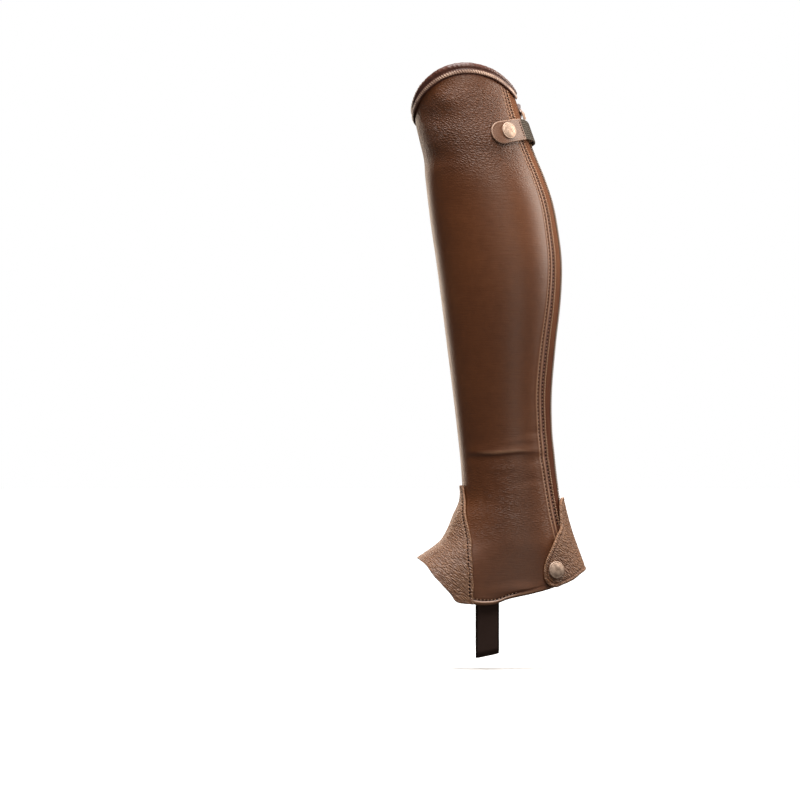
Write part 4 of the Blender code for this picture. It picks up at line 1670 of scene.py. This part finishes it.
def add_zip_stitches():
    height = np.linspace(SLIDER_HEIGHT - 2.0, ZIP_ROW_FOOT, 900)
    edge = ZIP_ANGLE + ZIP_HALF_ANGLE
    angle = edge + gap_angle(np.full_like(height, edge), height, ZIP_ROW + SEAM_GAP / 2)
    points = leg_point(angle, height, rolled(ZIP_ROW, ZIP_EDGE_ROLLS))
    return add_stitches("zip_row_stitches", points, leg_normal(angle, height), ZIP_ROW_PITCH)


def add_gusset_stitches(name, inner):
    inward = np.linspace(0.0, 0.3, 90) if inner else np.linspace(1.0, 0.7, 90)

    def distance(height):
        return smooth_value(GUSSET_ROW, height, 1)

    row = row_beside(gusset_place, inward, np.linspace(0.97, 0.03, 300), distance, gusset_relief)
    return add_stitches(
        name, *row, ROW_PITCH, share=0.55, radius=0.42, hole=1.6,
        slant=-24.0 if inner else 24.0, aside=1.2 if inner else -1.2,
    )


def add_hem_stitches(name, inner):
    """The row over the stirrup strap's end that holds it to the hem."""
    side = np.linspace(*HEM_ROW_ENDS, 200)
    height = hem_height(side) + HEM_ROW
    angle = 180 - side if inner else side
    points = leg_point(angle, height, hem_relief(HEM_ROW, side))
    return add_stitches(
        name, points, leg_normal(angle, height), ROW_PITCH, share=0.5, radius=0.36, hole=1.5
    )


def add_top_tab_stitches():
    def distance(height):
        return np.full_like(height, TOP_TAB_ROW)

    def relief(distance, height):
        return TOP_TAB_END_ROLLS[0][2]

    row = row_beside(
        top_tab_place, np.linspace(1.0, 0.8, 60), np.linspace(0.03, 0.97, 60), distance, relief
    )
    return add_stitches(
        "top_tab_stitches", *row, 2.4, share=0.62, radius=0.46, hole=1.9, slant=30.0,
        aside=1.35,
    )


main_panel = add_shell(
    "main_panel_leather", shares(139, PANEL_GIRTH, NEAR_ZIP, NEAR_REAR), long_rows(),
    long_place(panel_edges), PANEL_WALL, leather_finish, panel_relief,
)
stretch_band = add_shell(
    "stretch_band_knit", shares(30, BAND_WIDTH), long_rows(), long_place(band_edges, -BAND_RECESS),
    BAND_WALL, stretch_finish, band_relief,
)
outer_tape = add_zip_tape("zip_tape_outer_cloth", ZIP_ANGLE - ZIP_HALF_ANGLE, ZIP_ANGLE)
inner_tape = add_zip_tape("zip_tape_inner_cloth", ZIP_ANGLE, ZIP_ANGLE + ZIP_HALF_ANGLE)
outer_teeth = add_zip_teeth("zip_teeth_outer", -1)
inner_teeth = add_zip_teeth("zip_teeth_inner", 1)
top_binding = add_top_binding()
instep_gusset = add_shell(
    "instep_gusset_leather", shares(79, GUSSET_SIZE[0], NEAR_GUSSET), shares(64, GUSSET_SIZE[1]),
    gusset_place, GUSSET_WALL, grained_finish, instep_relief,
)
heel_tab = add_shell(
    "heel_tab_leather", shares(150, HEEL_TAB_SIZE[0]), shares(90, HEEL_TAB_SIZE[1]),
    heel_tab_place, HEEL_TAB_WALL, grained_finish, heel_tab_relief,
)
top_tab = add_shell(
    "top_tab_leather", shares(76, TOP_TAB_SIZE[0]), shares(44, TOP_TAB_SIZE[1]), top_tab_place,
    TOP_TAB_WALL, tab_finish, top_tab_relief,
)
top_strap = add_shell(
    "top_strap_elastic", shares(90, TOP_STRAP_SIZE[0]), shares(100, TOP_STRAP_SIZE[1]),
    top_strap_place, ELASTIC_WALL, elastic_finish, top_strap_relief, ELASTIC_ROUND,
)
stirrup_strap = add_shell(
    "stirrup_strap_elastic", np.linspace(0.0, 1.0, 181), shares(84, STIRRUP_WIDTH),
    stirrup_place, STIRRUP_WALL, stirrup_finish, stirrup_relief, ELASTIC_ROUND,
)
top_cap = add_cap("top_snap_cap_dome", TOP_SNAP, TOP_TAB_OUT + TOP_TAB_WALL + SEAM_GAP)
heel_cap = add_cap("heel_snap_cap_dome", HEEL_SNAP, HEEL_TAB_OUT + HEEL_TAB_WALL + SEAM_GAP)
slider = add_slider()
pull = add_pull()
rear_stitches = add_rear_stitches()
zip_stitches = add_zip_stitches()
gusset_stitches = add_gusset_stitches("gusset_stitches_outer", False)
gusset_stitches += add_gusset_stitches("gusset_stitches_inner", True)
hem_stitches = add_hem_stitches("hem_stitches_outer", False)
hem_stitches += add_hem_stitches("hem_stitches_inner", True)
tab_stitches = add_top_tab_stitches()

REPLACED = (
    # piece, node, slot
    (main_panel, "main_panel", "leather"),
    (stretch_band, "stretch_band", "stretch"),
    (outer_tape, "zip_tape_outer", "zip_tape"),
    (inner_tape, "zip_tape_inner", "zip_tape"),
    (top_binding, "top_binding", "binding_leather"),
    (instep_gusset, "instep_gusset", "grained_leather"),
    (heel_tab, "heel_tab", "grained_leather"),
    (top_tab, "top_tab", "leather"),
    (top_strap, "top_strap", "elastic"),
    (stirrup_strap, "stirrup_strap", "elastic"),
    (top_cap, "top_snap_cap", "antique_brass"),
    (heel_cap, "heel_snap_cap", "antique_brass"),
    (slider, "zip_slider", "antique_brass"),
    (pull, "zip_pull", "antique_brass"),
)
for piece, node, slot in REPLACED:
    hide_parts(node)
for node in ("top_snap_stud", "heel_snap_stud"):
    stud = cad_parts[node]
    stud.data.materials.clear()
    stud.data.materials.append(brass_finish)

SHEETS = (
    # piece, flat width and length, area, what it lies on, what goes with it
    (main_panel, (0.335, 0.475), 0.110, (), rear_stitches + zip_stitches + hem_stitches),
    (stretch_band, (0.020, 0.400), 0.0075, ("main_panel",), []),
    (outer_tape, (0.0055, 0.392), 0.0020, ("stretch_band",), [outer_teeth]),
    (inner_tape, (0.0055, 0.392), 0.0020, ("main_panel",), [inner_teeth]),
    (top_binding, (0.030, 0.300), 0.0085, ("main_panel",), []),
    (instep_gusset, (0.160, 0.105), 0.0077, ("main_panel",), gusset_stitches),
    (heel_tab, (0.100, 0.078), 0.0038, ("main_panel",), []),
    (top_tab, (0.019, 0.040), 0.00071, ("main_panel",), tab_stitches),
    (top_strap, (0.0176, 0.065), 0.00114, ("main_panel",), []),
    (stirrup_strap, (0.0204, 0.170), 0.00346, ("main_panel",), []),
)

# The photograph's frame: 0.88 mm to a pixel at the middle of the leg
FRAME_WIDTH = 0.704
FRAME_CENTRE = (-0.0862, -0.132)
CAMERA_DISTANCE = 15.0
FLOOR_HEIGHT = -0.3687
FLOOR_SIZE = 30.0
WHITE = (1.0, 1.0, 1.0, 1.0)

# How bright the studio is by how far a direction points behind the leg
BACKDROP_GLOW = {"From Min": 0.6, "From Max": 0.97, "To Min": 0.015, "To Max": 0.25}

# The colours of the soft boxes
WARM = (1.0, 0.92, 0.83)
AMBER = (1.0, 0.82, 0.66)
SOFT_BOXES = (
    # name, place, aim, width and height, power, colour
    ("soft_box_right", (0.62, 0.12, 0.23), (0.0, 0.0, 0.0), (0.4, 0.56), 4.5, WARM),
    ("soft_box_left", (-0.5, 0.85, -0.05), (0.0, 0.0, -0.05), (0.25, 0.9), 5.0, AMBER),
    ("soft_box_front", (0.4, -0.9, -0.27), (0.0, 0.0, -0.23), (0.4, 0.6), 1.4, WARM),
    ("soft_box_top", (0.02, -0.42, 0.36), (-0.02, 0.0, 0.10), (0.3, 0.2), 1.5, WARM),
    ("soft_box_back", (0.1, 1.2, 0.4), (0.0, 0.0, 0.0), (0.8, 0.8), 6.0, WARM),
)

# The overhead light: the way towards it, its power and how wide it is in degrees
OVERHEAD = ((-0.12, -0.10, 1.0), 4.9, 50.0)

# How much of its light the floor gives back to the leather
FLOOR_BOUNCE = 0.05

camera_data = bpy.data.cameras.new("camera")
camera_data.lens = camera_data.sensor_width * CAMERA_DISTANCE / FRAME_WIDTH
camera = add_object("camera", camera_data)
camera.location = (FRAME_CENTRE[0], -CAMERA_DISTANCE, FRAME_CENTRE[1])
camera.rotation_euler = (np.radians(90), 0.0, 0.0)
bpy.context.scene.camera = camera
bpy.context.scene.view_settings.view_transform = "Standard"


def add_floor():
    """A white floor that gives back little of its light."""
    bm = bmesh.new()
    bmesh.ops.create_grid(bm, x_segments=1, y_segments=1, size=FLOOR_SIZE)
    bmesh.ops.translate(bm, vec=(0, 0, FLOOR_HEIGHT), verts=bm.verts)
    mesh = mesh_of("floor", bm)
    finish = Finish("floor", Roughness=0.9, Specular_IOR_Level=0.0)
    finish.shader.inputs["Base Color"].default_value = (0.95, 0.95, 0.95, 1.0)
    dim = finish.add("ShaderNodeBsdfDiffuse", inputs={"Color": (FLOOR_BOUNCE,) * 3 + (1.0,)})
    seen = finish.add("ShaderNodeLightPath", output="Is Camera Ray")
    chosen = finish.add("ShaderNodeMixShader", inputs={0: seen, 1: dim})
    mixer = chosen.socket.node
    finish.tree.links.new(finish.shader.outputs[0], mixer.inputs[2])
    finish.tree.links.new(chosen.socket, finish.tree.nodes["Material Output"].inputs["Surface"])
    mesh.materials.append(finish.material)
    add_object("floor", mesh)


def add_light(name, place, aim, size, power, tint):
    data = bpy.data.lights.new(name, "AREA")
    data.shape = "RECTANGLE"
    data.size, data.size_y = size
    data.energy = power
    data.color = tint
    light = add_object(name, data)
    light.location = place
    light.rotation_euler = (Vector(aim) - Vector(place)).to_track_quat("-Z", "Y").to_euler()
    light.visible_camera = False


def add_overhead(way, power, spread):
    """The broad light from above, which also keeps the far floor white."""
    data = bpy.data.lights.new("overhead", "SUN")
    data.energy = power
    data.angle = np.radians(spread)
    light = add_object("overhead", data)
    light.rotation_euler = Vector(way).to_track_quat("Z", "Y").to_euler()


def add_world():
    """A white studio: bright behind the leg and dim elsewhere, plain white where the camera sees
    it.
    """
    world = bpy.data.worlds.new("studio")
    bpy.context.scene.world = world
    world.use_nodes = True
    world.node_tree.nodes.clear()
    studio = Nodes(world.node_tree)
    _, behind, _ = studio.parts(studio.add("ShaderNodeTexCoord", output="Generated"))
    glow = studio.soft_range(behind, BACKDROP_GLOW)
    lit = studio.add("ShaderNodeBackground", inputs={"Color": WHITE, "Strength": glow})
    seen = studio.add("ShaderNodeBackground", inputs={"Color": WHITE, "Strength": 1.0})
    straight = studio.add("ShaderNodeLightPath", output="Is Camera Ray")
    chosen = studio.add("ShaderNodeMixShader", inputs={0: straight, 1: lit, 2: seen})
    output = studio.tree.nodes.new("ShaderNodeOutputWorld")
    studio.tree.links.new(chosen.socket, output.inputs["Surface"])


add_floor()
add_world()
for box in SOFT_BOXES:
    add_light(*box)
add_overhead(*OVERHEAD)
